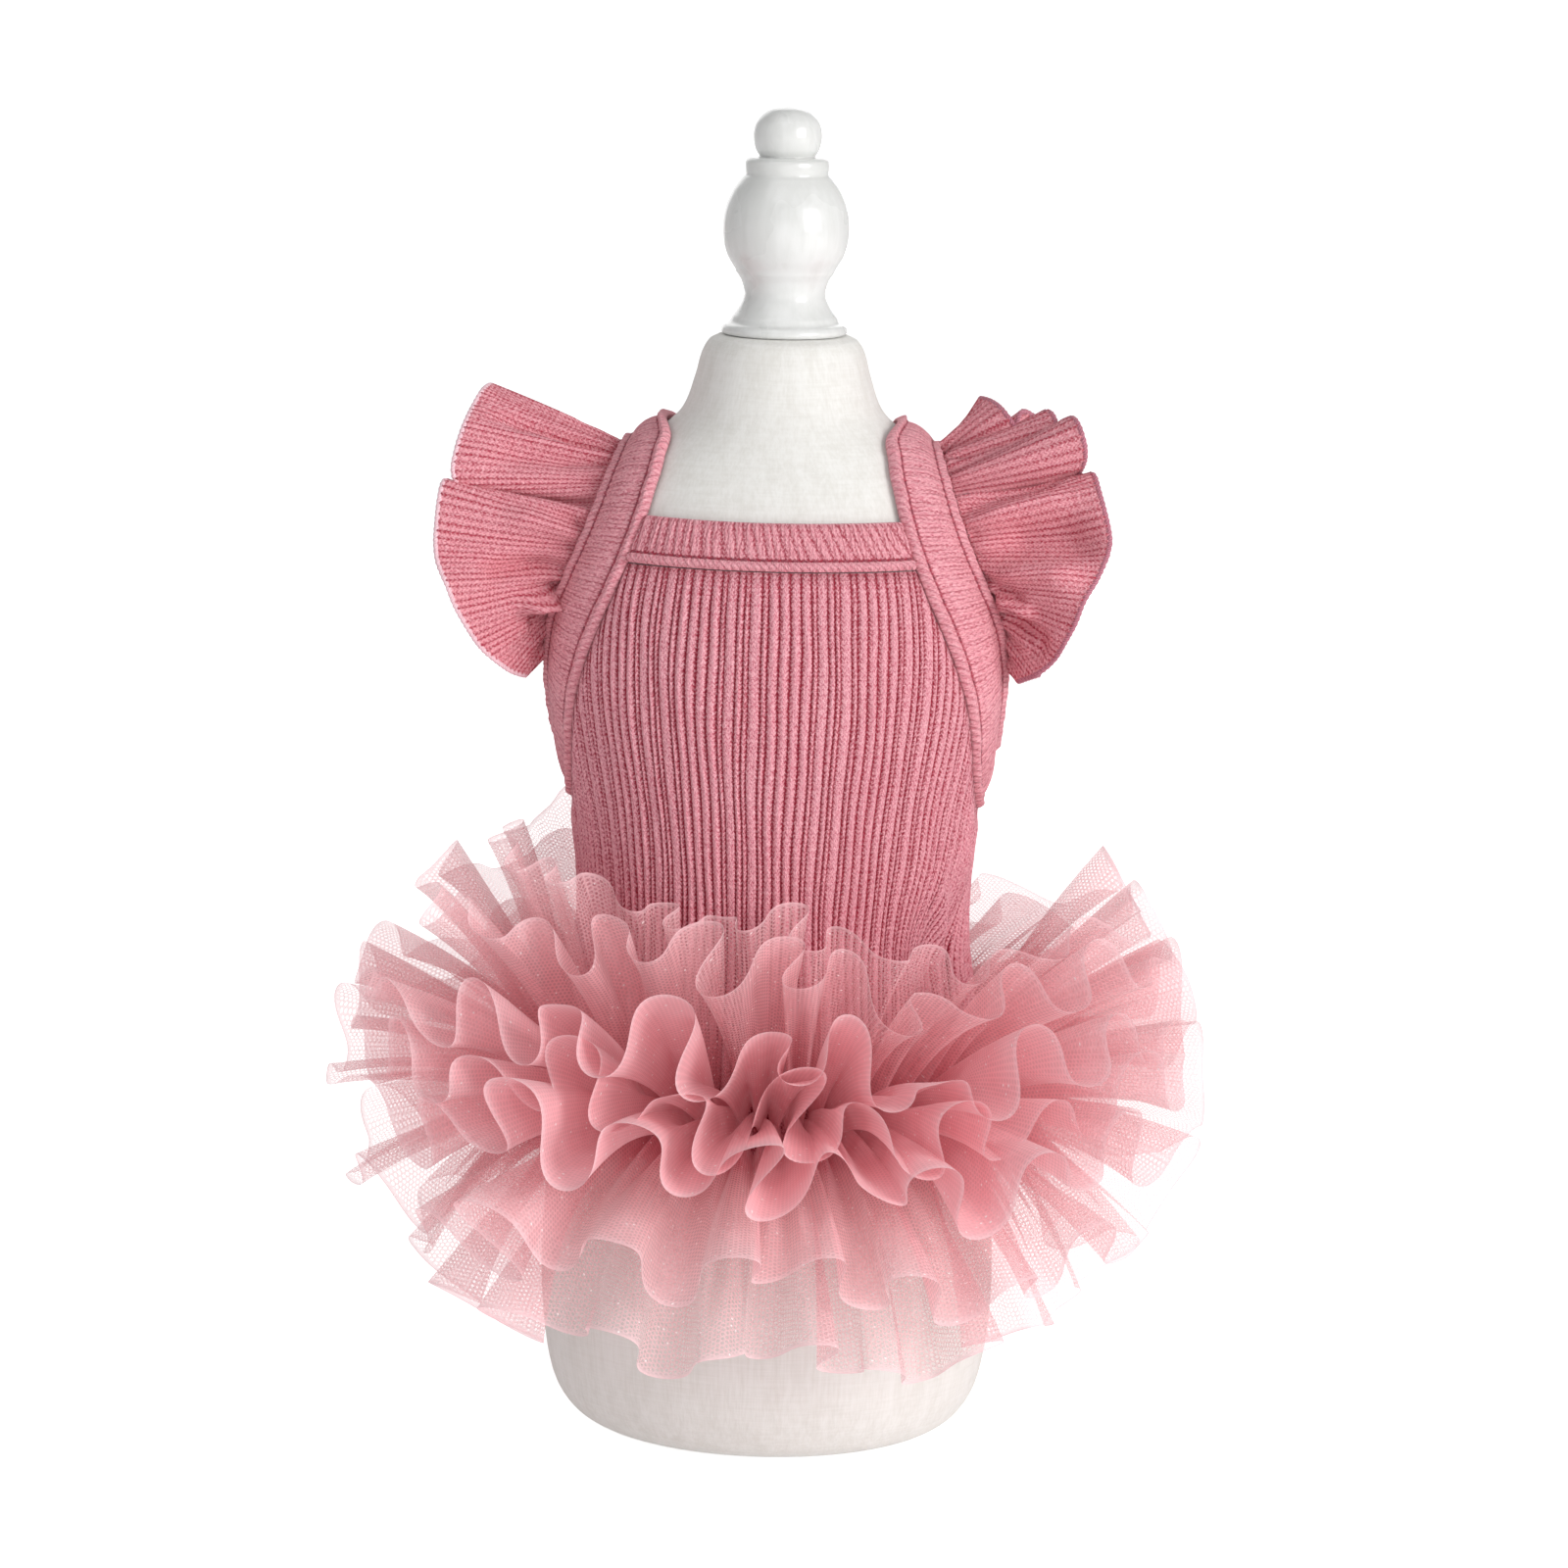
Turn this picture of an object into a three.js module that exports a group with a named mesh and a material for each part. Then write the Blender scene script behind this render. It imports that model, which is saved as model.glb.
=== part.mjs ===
// Small-dog dress on a tabletop dress form: a ribbed knit bodice with bound neck and armholes,
// a gathered flutter sleeve on each shoulder and a six-tier tulle tutu.
//
// Millimetres, +Z up. The origin is the middle of the form's flat underside, the front faces -Y and +X is
// the form's left-hand side as a viewer in front sees the right. An angle runs round the form from the
// front (0) over the +X side (90) to the back (180), in degrees.
import * as THREE from "three";

// ---------------------------------------------------------------- driving dimensions

const seamGap = 0.3; // between two pieces that are sewn together
const sideSeam = { angle: 90, gapAngle: 0.36 };
const bindingSeam = { gapAngle: 0.5, gapHeight: 0.4 }; // from the armhole binding to its neighbours
const knitThickness = 1.2;
const knitLift = 1; // from the form's skin to the inside of the knit
const ribHeight = 0.8;
const ribFade = 7; // length over which the ribs flatten into a sewn edge
const ribStartZ = 106; // the ribs lie flat below this, where the tutu is sewn on
const ribRepeats = 7; // of the knit's pattern, across one panel
const tulleThickness = 1.1;
const hemZ = 86; // lower edge of the bodice, under the tutu
const necklineZ = { front: 256, back: 260 };
const neckBandHeight = 12;

// Half width and half depth of the padded form at each height.
const formSections = [
  { z: 0, width: 40, depth: 31 },
  { z: 3, width: 49.5, depth: 40.6 },
  { z: 8, width: 55.5, depth: 46.8 },
  { z: 16, width: 59.3, depth: 50.2 },
  { z: 30, width: 61.5, depth: 52 },
  { z: 46, width: 62.2, depth: 52.5 },
  { z: 75, width: 60.5, depth: 51 },
  { z: 100, width: 56, depth: 48.5 },
  { z: 125, width: 52, depth: 46 },
  { z: 150, width: 50.3, depth: 45 },
  { z: 175, width: 52.8, depth: 46.5 },
  { z: 205, width: 59.3, depth: 48 },
  { z: 220, width: 60.3, depth: 47.2 },
  { z: 235, width: 58.8, depth: 44.5 },
  { z: 250, width: 54.5, depth: 40.5 },
  { z: 262, width: 48, depth: 36 },
  { z: 270, width: 41, depth: 32 },
  { z: 276, width: 33, depth: 29 },
  { z: 282, width: 26.8, depth: 26 },
  { z: 291, width: 23.4, depth: 23 },
  { z: 297, width: 21.8, depth: 21.2 },
  { z: 300.5, width: 19.8, depth: 19.4 },
  { z: 301.7, width: 17.6, depth: 17.2 },
];

// The turned finial, from its underside to its tip.
const finialSections = [
  { z: 302, radius: 16.4 },
  { z: 303, radius: 16.8 },
  { z: 304.6, radius: 16.3 },
  { z: 305.6, radius: 14.3 },
  { z: 306.6, radius: 14 },
  { z: 309, radius: 12.2 },
  { z: 312.4, radius: 10.8 },
  { z: 316, radius: 11.6 },
  { z: 318.4, radius: 12.9 },
  { z: 319.2, radius: 13.6 },
  { z: 322.5, radius: 15.3 },
  { z: 326.5, radius: 16.5 },
  { z: 331, radius: 16.8 },
  { z: 336, radius: 15.9 },
  { z: 340.5, radius: 13.9 },
  { z: 343.4, radius: 11.9 },
  { z: 344.2, radius: 10.9 },
  { z: 347.8, radius: 11 },
  { z: 348.6, radius: 10.4 },
  { z: 348.9, radius: 7.3 },
  { z: 351, radius: 8.5 },
  { z: 354.6, radius: 9.1 },
  { z: 358.2, radius: 8.1 },
  { z: 361, radius: 5 },
  { z: 362.1, radius: 0 },
];

// Widths of the ribs in one repeat of the knit, as shares of the repeat.
const ribRepeat = [
  { rib: "wide", share: 0.12 },
  { rib: "wide", share: 0.12 },
  { rib: "wide", share: 0.12 },
  { rib: "wide", share: 0.12 },
  { rib: "narrow", share: 0.06 },
  { rib: "wide", share: 0.12 },
  { rib: "middle", share: 0.08 },
  { rib: "narrow", share: 0.06 },
  { rib: "wide", share: 0.13 },
  { rib: "middle", share: 0.07 },
];

// The armhole binding's two edges on the form, from the underarm up the front to the top of the shoulder.
// The back half is the same, mirrored. "neck" is the edge towards the neck, "arm" the edge round the arm.
const bindingEdges = [
  { neckAngle: 90, neckZ: 175.5, armAngle: 90, armZ: 195 },
  { neckAngle: 80, neckZ: 178.5, armAngle: 84.5, armZ: 197.5 },
  { neckAngle: 70, neckZ: 187.5, armAngle: 80.5, armZ: 204.5 },
  { neckAngle: 60, neckZ: 203.5, armAngle: 78.5, armZ: 214.5 },
  { neckAngle: 50, neckZ: 222, armAngle: 74.5, armZ: 226.5 },
  { neckAngle: 43, neckZ: 237, armAngle: 67.5, armZ: 238 },
  { neckAngle: 39.5, neckZ: 250, armAngle: 63.5, armZ: 248.5 },
  { neckAngle: 40, neckZ: 261, armAngle: 64.5, armZ: 258 },
  { neckAngle: 45, neckZ: 270, armAngle: 70, armZ: 265 },
  { neckAngle: 60, neckZ: 276.5, armAngle: 79, armZ: 269 },
  { neckAngle: 90, neckZ: 278.5, armAngle: 90, armZ: 270.5 },
];

// Thickness across a binding, from one edge to the other: a rolled edge on each side of a flat band.
const bindingProfile = [
  { across: 0, height: 2.2 },
  { across: 0.09, height: 2.9 },
  { across: 0.2, height: 2 },
  { across: 0.8, height: 2 },
  { across: 0.91, height: 3.1 },
  { across: 1, height: 2.4 },
];

// Thickness of the neck binding from its lower, rolled edge up to the neckline.
const neckBandProfile = [
  { up: 0, height: 2.3 },
  { up: 0.12, height: 2.9 },
  { up: 0.26, height: 2 },
  { up: 1, height: 1.8 },
];

// The tulle tiers, top to bottom: height of the seam, how steeply each rises from it at the front, sides and
// back, its depth from seam to edge at the front and elsewhere, the swing and the turn of its waves.
const tulleTiers = [
  { seamZ: 106, front: 78, side: 76, back: 34, frontDepth: 50, depth: 61, swing: 4.5, turn: 0 },
  { seamZ: 102.8, front: 56, side: 53, back: 20, frontDepth: 56, depth: 61, swing: 7.5, turn: 0.9 },
  { seamZ: 99.6, front: 30, side: 29, back: 6, frontDepth: 58, depth: 60, swing: 9, turn: 1.5 },
  { seamZ: 96.4, front: 4, side: 5, back: -9, frontDepth: 58, depth: 60, swing: 9, turn: 2.4 },
  { seamZ: 93.2, front: -20, side: -24, back: -26, frontDepth: 60, depth: 57, swing: 8, turn: 3.3 },
  { seamZ: 90, front: -45, side: -57, back: -48, frontDepth: 62, depth: 53, swing: 7.5, turn: 4 },
];
const tulleWaves = 22;
const tulleSpring = 10; // degrees by which a tier leaves its seam more steeply than its middle
const tulleDroop = 22; // degrees by which it bends down from seam to edge
const tulleLoop = 0.12; // sideways swing of a wave, as a share of its up-and-down swing
const tulleRows = [0, 0.42, 1]; // shares of the depth

// How the gathers differ round the body, as sums of slow waves: "bunch" in degrees along the seam, "swing" as a
// share of the waves' swing and "lift" in degrees of rise. All tiers share these, so their waves nest.
const gatherTable = [
  { of: "bunch", times: 3, size: 2.4, turn: 0.6 },
  { of: "bunch", times: 7, size: 0.9, turn: 2.2 },
  { of: "swing", times: 4, size: 0.15, turn: 1.1 },
  { of: "swing", times: 9, size: 0.12, turn: 0.4 },
  { of: "lift", times: 1, size: -4, turn: 0 },
  { of: "lift", times: 3, size: 3.5, turn: 2.6 },
  { of: "lift", times: 8, size: 2.5, turn: 0 },
];

// The flutter sleeves.
const sleeveDepth = { end: 10, middle: 45 };
const sleeveWaves = 7;
const sleeveSwing = 6.5;
const sleeveLoop = 0.1; // sideways swing of a wave, as a share of its up-and-down swing
const sleeveFlare = 13; // degrees by which it leans away from the middle of the armhole
const sleeveSeam = { lift: 2.2, inset: 1.5, start: 0.4 }; // above the form, inside the armhole, out from there
const armholeCentre = { y: 0, z: 236 };
const sleeveSpan = { from: 0.12, to: 0.88 }; // the stretch of the armhole that it is sewn to
const sleeveRows = [0, 0.45, 1];

// Number of facets.
const formFacets = 24;
const finialFacets = 16;
const innerFacets = 24;
const bindingFacets = 32;
const bandFacets = 14;
const facetsPerWave = 5;
const bodiceRows = [0, 0.25, 0.5, 0.7, 0.85, 0.95, 1];

// ---------------------------------------------------------------- materials

const finish = (color, roughness) => new THREE.MeshStandardMaterial({ color, roughness, metalness: 0 });
const knit = finish(0xcf8791, 0.9);
const bindingKnit = finish(0xd0909a, 0.9);
const tulle = finish(0xd59a9d, 0.75);
const linen = finish(0xe6e4df, 0.85);
const whiteLacquer = finish(0xeef0ee, 0.3);

// ---------------------------------------------------------------- tables and curves

const radians = THREE.MathUtils.degToRad;

// Value of a table's column at a place along another column, on a smooth curve through the rows.
function smoothValue(rows, key, column, at) {
  const last = rows.length - 1;
  const place = THREE.MathUtils.clamp(at, rows[0][key], rows[last][key]);
  let i = 0;
  while (i < last - 1 && place > rows[i + 1][key]) i += 1;
  const slope = (k) => {
    const [a, b] = [Math.max(k - 1, 0), Math.min(k + 1, last)];
    return (rows[b][column] - rows[a][column]) / (rows[b][key] - rows[a][key]);
  };
  const step = rows[i + 1][key] - rows[i][key];
  const t = (place - rows[i][key]) / step;
  return (
    rows[i][column] * (2 * t ** 3 - 3 * t ** 2 + 1) +
    rows[i + 1][column] * (3 * t ** 2 - 2 * t ** 3) +
    slope(i) * step * (t ** 3 - 2 * t ** 2 + t) +
    slope(i + 1) * step * (t ** 3 - t ** 2)
  );
}

const smoothStep = (x) => THREE.MathUtils.smoothstep(x, 0, 1);

// A point on the form's skin at an angle and a height, moved out along the skin's normal.
function formPoint(angle, z, lift = 0) {
  const [sin, cos] = [Math.sin(radians(angle)), Math.cos(radians(angle))];
  const width = smoothValue(formSections, "z", "width", z);
  const depth = smoothValue(formSections, "z", "depth", z);
  const step = 0.5;
  const growth = (column) =>
    (smoothValue(formSections, "z", column, z + step) - smoothValue(formSections, "z", column, z - step)) /
    (2 * step);
  const normal = new THREE.Vector3(
    depth * sin,
    -width * cos,
    -(width * growth("depth") * cos * cos + depth * growth("width") * sin * sin),
  ).normalize();
  return new THREE.Vector3(width * sin, -depth * cos, z).addScaledVector(normal, lift);
}

// ---------------------------------------------------------------- closed shapes

// Triangles of a grid of point numbers, rows upwards and columns to the right as seen from outside.
function gridFaces(grid, round) {
  const faces = [];
  for (let i = 0; i < grid.length - 1; i += 1) {
    const columns = grid[i].length;
    for (let j = 0; j < (round ? columns : columns - 1); j += 1) {
      const k = (j + 1) % columns;
      faces.push([grid[i][j], grid[i][k], grid[i + 1][k]], [grid[i][j], grid[i + 1][k], grid[i + 1][j]]);
    }
  }
  return faces;
}

// Triangles of the strip between two edges, which may have different numbers of points.
function stripFaces(upper, lower, round) {
  const faces = [];
  const [nu, nl] = round ? [upper.length, lower.length] : [upper.length - 1, lower.length - 1];
  let [i, j] = [0, 0];
  while (i < nu || j < nl) {
    const moveUpper = j >= nl || (i < nu && (i + 0.5) / nu <= (j + 0.5) / nl);
    const [a, b] = [upper[i % upper.length], lower[j % lower.length]];
    if (moveUpper) {
      i += 1;
      faces.push([a, b, upper[i % upper.length]]);
    } else {
      j += 1;
      faces.push([a, b, lower[j % lower.length]]);
    }
  }
  return faces;
}

function geometryOf(points, faces) {
  const geometry = new THREE.BufferGeometry();
  geometry.setAttribute("position", new THREE.Float32BufferAttribute(points.flatMap((p) => p.toArray()), 3));
  geometry.setIndex(faces.flat());
  geometry.computeVertexNormals();
  return geometry;
}

// A cloth wall between an outer and an inner grid of points. Round walls close on themselves.
function clothWall(outer, inner, round) {
  const points = [];
  const numbered = (grid) => grid.map((row) => row.map((p) => points.push(p) - 1));
  const [out, into] = [numbered(outer), numbered(inner)];
  const flipped = (faces) => faces.map(([a, b, c]) => [a, c, b]);
  const [first, last] = [0, out.length - 1];
  const innerLast = into.length - 1;
  const faces = [...gridFaces(out, round), ...flipped(gridFaces(into, round))];
  faces.push(...stripFaces(out[first], into[first], round));
  faces.push(...flipped(stripFaces(out[last], into[innerLast], round)));
  if (!round) {
    const side = (grid, end) => grid.map((row) => row[end ? row.length - 1 : 0]);
    faces.push(...flipped(stripFaces(side(out, false), side(into, false), false)));
    faces.push(...stripFaces(side(out, true), side(into, true), false));
  }
  return geometryOf(points, faces);
}

// A closed body of rings stacked upwards, with flat or pointed ends.
function ringBody(rings) {
  const points = [];
  const grid = rings.map((ring) => ring.map((p) => points.push(p) - 1));
  const faces = gridFaces(grid, true);
  const cap = (ring, up) => {
    const middle = new THREE.Vector3();
    ring.forEach((n) => middle.addScaledVector(points[n], 1 / ring.length));
    const centre = points.push(middle) - 1;
    ring.forEach((n, j) => {
      const next = ring[(j + 1) % ring.length];
      faces.push(up ? [n, next, centre] : [next, n, centre]);
    });
  };
  cap(grid[0], false);
  cap(grid[grid.length - 1], true);
  return geometryOf(points, faces);
}

// Mirrors a shape to the other side of the form and turns its faces out again.
function mirrored(geometry) {
  const copy = geometry.clone();
  const [place, index] = [copy.getAttribute("position"), copy.getIndex()];
  for (let i = 0; i < place.count; i += 1) place.setX(i, -place.getX(i));
  for (let i = 0; i < index.count; i += 3) {
    const [b, c] = [index.getX(i + 1), index.getX(i + 2)];
    index.setX(i + 1, c);
    index.setX(i + 2, b);
  }
  copy.computeVertexNormals();
  return copy;
}

// The two faces of a cloth wall whose middle surface is a grid of points.
function thickened(grid, thickness, round) {
  const [rows, columns] = [grid.length, grid[0].length];
  const at = (i, j) => {
    const column = round ? (j + columns) % columns : THREE.MathUtils.clamp(j, 0, columns - 1);
    return grid[THREE.MathUtils.clamp(i, 0, rows - 1)][column];
  };
  const side = (sign) =>
    grid.map((row, i) =>
      row.map((p, j) => {
        const across = at(i, j + 1).clone().sub(at(i, j - 1));
        const up = at(i + 1, j).clone().sub(at(i - 1, j));
        const normal = across.cross(up).normalize();
        return p.clone().addScaledVector(normal, (sign * thickness) / 2);
      }),
    );
  return [side(1), side(-1)];
}

// ---------------------------------------------------------------- dress form

function formBody() {
  const rings = formSections.map(({ z }) =>
    Array.from({ length: formFacets }, (_, j) => formPoint((360 * j) / formFacets, z)),
  );
  return ringBody(rings);
}

function formFinial() {
  const profile = [{ z: finialSections[0].z, radius: 0 }, ...finialSections];
  return new THREE.LatheGeometry(
    profile.map(({ z, radius }) => new THREE.Vector2(radius, z)),
    finialFacets,
  ).rotateX(Math.PI / 2);
}

// ---------------------------------------------------------------- bindings

// One edge of the armhole binding as a closed curve of angles and heights on the form.
function bindingEdge(angleColumn, zColumn) {
  const front = bindingEdges.map((row) => new THREE.Vector3(row[angleColumn], row[zColumn], 0));
  const back = front.slice(1, -1).reverse().map((p) => new THREE.Vector3(180 - p.x, p.y, 0));
  return new THREE.CatmullRomCurve3([...front, ...back], true, "catmullrom", 0.5);
}

const neckEdge = bindingEdge("neckAngle", "neckZ");
const armEdge = bindingEdge("armAngle", "armZ");

// A point across the binding at a share of the way round the armhole from the underarm, on the +X side.
function bindingPoint(share, across, lift) {
  const chart = neckEdge.getPoint(share).lerp(armEdge.getPoint(share), across);
  return formPoint(chart.x, chart.y, lift);
}

function armholeBinding() {
  const shares = Array.from({ length: bindingFacets }, (_, j) => j / bindingFacets);
  const row = (across, lift) => shares.map((share) => bindingPoint(share, across, lift));
  const outer = bindingProfile.map(({ across, height }) => row(across, knitLift + height));
  const inner = [0, 0.5, 1].map((across) => row(across, knitLift));
  return clothWall(outer.reverse(), inner.reverse(), true);
}

// Height of the binding's neck edge above an angle between the neckline and the side seam.
const neckEdgePoints = 400;
const neckEdgeTable = neckEdge.getPoints(neckEdgePoints).slice(0, neckEdgePoints * 0.36);
function neckEdgeZ(angle) {
  const row = neckEdgeTable.findIndex((p, i) => i > 0 && p.x <= angle);
  if (row < 1) return neckEdgeTable[neckEdgeTable.length - 1].y;
  const [a, b] = [neckEdgeTable[row - 1], neckEdgeTable[row]];
  return THREE.MathUtils.mapLinear(angle, a.x, b.x, a.y, b.y);
}

// Angle of the binding's neck edge at a height above the underarm.
function neckEdgeAngle(z) {
  const row = neckEdgeTable.findIndex((p) => p.y >= z);
  const [a, b] = [neckEdgeTable[row - 1], neckEdgeTable[row]];
  return THREE.MathUtils.mapLinear(z, a.y, b.y, a.x, b.x);
}

// The neckline's binding between the two armhole bindings.
function neckBand(faceAngle, topZ) {
  const row = (up, lift) => {
    const z = topZ - neckBandHeight * (1 - up);
    const reach = neckEdgeAngle(z) - bindingSeam.gapAngle;
    return Array.from({ length: bandFacets + 1 }, (_, j) =>
      formPoint(faceAngle + reach * ((2 * j) / bandFacets - 1), z, lift),
    );
  };
  const outer = neckBandProfile.map(({ up, height }) => row(up, knitLift + height));
  const inner = neckBandProfile.map(({ up }) => row(up, knitLift));
  return clothWall(outer, inner, false);
}

// ---------------------------------------------------------------- bodice

// Angles of the grooves and crests across half the body, with 1 on a crest and 0 in a groove.
function ribColumns() {
  const columns = [{ angle: -sideSeam.angle, crest: 0 }];
  const repeatAngle = (2 * sideSeam.angle) / ribRepeats;
  let angle = -sideSeam.angle;
  for (let repeat = 0; repeat < ribRepeats; repeat += 1) {
    ribRepeat.forEach(({ share }) => {
      columns.push({ angle: angle + (share * repeatAngle) / 2, crest: 1 });
      angle += share * repeatAngle;
      columns.push({ angle, crest: 0 });
    });
  }
  return columns;
}

// One panel of the bodice: ribs outside, plain inside, its top cut along the neckline and armhole bindings.
function bodicePanel(faceAngle, necklineTop) {
  const reach = sideSeam.angle - sideSeam.gapAngle / 2;
  const bandFoot = necklineTop - neckBandHeight - seamGap;
  const topZ = (angle) => {
    const beside = Math.min(Math.abs(angle) + bindingSeam.gapAngle, sideSeam.angle);
    return Math.min(bandFoot, neckEdgeZ(beside) - bindingSeam.gapHeight);
  };
  const point = (angle, share, crest) => {
    const top = topZ(angle);
    const z = THREE.MathUtils.lerp(hemZ, top, share);
    const fade = smoothStep((top - z) / ribFade) * smoothStep((z - ribStartZ) / ribFade);
    const rib = crest * ribHeight * fade;
    return (lift) => formPoint(faceAngle + angle, z, knitLift + lift * (knitThickness + rib));
  };
  const columns = ribColumns().map(({ angle, crest }) => ({
    angle: THREE.MathUtils.clamp(angle, -reach, reach),
    crest,
  }));
  const outer = bodiceRows.map((share) => columns.map(({ angle, crest }) => point(angle, share, crest)(1)));
  const inner = bodiceRows.map((share) =>
    Array.from({ length: innerFacets + 1 }, (_, j) => point(reach * ((2 * j) / innerFacets - 1), share, 0)(0)),
  );
  return clothWall(outer, inner, false);
}

// ---------------------------------------------------------------- tulle tutu

// A column's value round the body: one figure each for the front, the sides and the back.
function roundBody(angle, front, side, back) {
  const cos = Math.cos(radians(angle));
  const end = cos > 0 ? front : back;
  return end * cos * cos + side * (1 - cos * cos);
}

// The sum of the gather table's rows for one thing at a place round the body, 0 to 1.
function gather(of, turns) {
  const round = 2 * Math.PI * turns;
  const rows = gatherTable.filter((row) => row.of === of);
  return rows.reduce((sum, { times, size, turn }) => sum + size * Math.sin(times * round + turn), 0);
}

// A point on the middle surface of a tulle tier. turns is the place along the gathered strip, 0 to 1.
function tullePoint(tier, turns, down) {
  const angle = 360 * turns + gather("bunch", turns);
  const phase = 2 * Math.PI * tulleWaves * turns + tier.turn;
  const root = formPoint(angle, tier.seamZ, knitLift + knitThickness + ribHeight + seamGap + 0.2);
  const outward = formPoint(angle, tier.seamZ, 1).sub(formPoint(angle, tier.seamZ));
  outward.setZ(0).normalize();
  const along = new THREE.Vector3(-outward.y, outward.x, 0);
  const rise = roundBody(angle, tier.front, tier.side, tier.back) + gather("lift", turns);
  const depth = roundBody(angle, tier.frontDepth, tier.depth, tier.depth);
  const start = radians(rise + tulleSpring);
  const bend = radians(-tulleDroop);
  const end = start + bend * down;
  const swing = tier.swing * (1 + gather("swing", turns)) * down ** 1.2;
  const wave = swing * Math.sin(phase);
  return root
    .addScaledVector(outward, (depth / bend) * (Math.sin(end) - Math.sin(start)) - wave * Math.sin(end))
    .addScaledVector(along, swing * tulleLoop * Math.sin(2 * phase))
    .add(new THREE.Vector3(0, 0, (depth / bend) * (Math.cos(start) - Math.cos(end)) + wave * Math.cos(end)));
}

function tulleTier(tier) {
  const columns = tulleWaves * facetsPerWave;
  // The first row is the free edge for a tier seen from above, so the wall's outer face is its upper one.
  const grid = tulleRows
    .map((down) => Array.from({ length: columns }, (_, j) => tullePoint(tier, j / columns, down)))
    .reverse();
  const [outer, inner] = thickened(grid, tulleThickness, true);
  return clothWall(outer, inner, true);
}

// ---------------------------------------------------------------- flutter sleeves

// A point on the middle surface of the +X sleeve. along runs from the front end over the shoulder to the back.
function sleevePoint(along, out, turn) {
  const share = THREE.MathUtils.lerp(sleeveSpan.from, sleeveSpan.to, along);
  const chart = armEdge.getPointAt(share);
  const next = armEdge.getPointAt(share + 0.01);
  const root = formPoint(chart.x, chart.y, sleeveSeam.lift);
  const tangent = formPoint(next.x, next.y, sleeveSeam.lift).sub(root).normalize();
  const lean = new THREE.Vector3(0, root.y - armholeCentre.y, root.z - armholeCentre.z).normalize();
  const away = new THREE.Vector3(Math.cos(radians(sleeveFlare)), 0, 0).addScaledVector(
    lean,
    Math.sin(radians(sleeveFlare)),
  );
  const normal = tangent.clone().cross(away).normalize();
  const depth = THREE.MathUtils.lerp(sleeveDepth.end, sleeveDepth.middle, Math.sin(Math.PI * along) ** 0.9);
  const phase = 2 * Math.PI * (sleeveWaves * along + 0.1 * Math.sin(2 * Math.PI * along + turn)) + turn;
  const swing = sleeveSwing * out ** 1.2 * Math.min(1, depth / sleeveDepth.middle);
  return root
    .addScaledVector(lean, -sleeveSeam.inset)
    .addScaledVector(away, depth * out + sleeveSeam.start)
    .addScaledVector(normal, swing * Math.sin(phase))
    .addScaledVector(tangent, swing * sleeveLoop * Math.sin(2 * phase));
}

function flutterSleeve(turn) {
  const columns = sleeveWaves * facetsPerWave;
  const grid = sleeveRows.map((out) =>
    Array.from({ length: columns + 1 }, (_, j) => sleevePoint(j / columns, out, turn)),
  );
  const [outer, inner] = thickened(grid, knitThickness, false);
  return clothWall(outer, inner, false);
}

// ---------------------------------------------------------------- assembly

const part = new THREE.Group();

function add(name, geometry, material) {
  const mesh = new THREE.Mesh(geometry, material);
  mesh.name = name;
  part.add(mesh);
}

add("form_body", formBody(), linen);
add("form_finial", formFinial(), whiteLacquer);
add("bodice_front", bodicePanel(0, necklineZ.front), knit);
add("bodice_back", bodicePanel(180, necklineZ.back), knit);
add("neck_band_front", neckBand(0, necklineZ.front), bindingKnit);
add("neck_band_back", neckBand(180, necklineZ.back), bindingKnit);
add("armhole_binding_left", armholeBinding(), bindingKnit);
add("armhole_binding_right", mirrored(armholeBinding()), bindingKnit);
add("flutter_sleeve_left", flutterSleeve(0.4), knit);
add("flutter_sleeve_right", mirrored(flutterSleeve(2.6)), knit);
tulleTiers.forEach((tier, i) => add(`tulle_tier_${i + 1}`, tulleTier(tier), tulle));

export default part;
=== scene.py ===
"""A small-dog dress on its tabletop form: rib-knit bodice, bound edges, flutter sleeves and a tulle tutu.

Sizes are in millimetres up to the moment a mesh is made, and angles run round the form in degrees from the
front (-Y) over the wearer's left (+X).
"""

import logging
import math
from dataclasses import dataclass, field
from enum import Enum
from typing import Callable, Optional, Sequence

import bmesh
import bpy
import numpy as np
from mathutils import Matrix, Vector


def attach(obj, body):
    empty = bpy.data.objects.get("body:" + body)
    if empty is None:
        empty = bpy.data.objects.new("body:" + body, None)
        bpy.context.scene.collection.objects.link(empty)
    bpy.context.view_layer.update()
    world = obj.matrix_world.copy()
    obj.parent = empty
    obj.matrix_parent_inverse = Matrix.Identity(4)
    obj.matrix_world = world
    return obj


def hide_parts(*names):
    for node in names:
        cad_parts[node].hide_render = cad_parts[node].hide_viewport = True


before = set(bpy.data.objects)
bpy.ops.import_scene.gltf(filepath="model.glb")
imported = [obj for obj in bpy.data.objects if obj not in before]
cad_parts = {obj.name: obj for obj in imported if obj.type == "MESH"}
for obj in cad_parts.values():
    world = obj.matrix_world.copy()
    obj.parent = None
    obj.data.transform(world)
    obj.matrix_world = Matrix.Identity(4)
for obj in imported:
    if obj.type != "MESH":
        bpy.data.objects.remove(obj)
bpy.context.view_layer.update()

log = logging.getLogger("dog_dress")
logging.basicConfig(level=logging.INFO, format="%(name)s: %(message)s")

MM = 0.001
TURN = 2 * math.pi
BODY = "root"
CLOTH_UV = "cloth"
Array = np.ndarray
Rows = Sequence[Sequence[float]]


# ---------------------------------------------------------------- curves and tables


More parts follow.
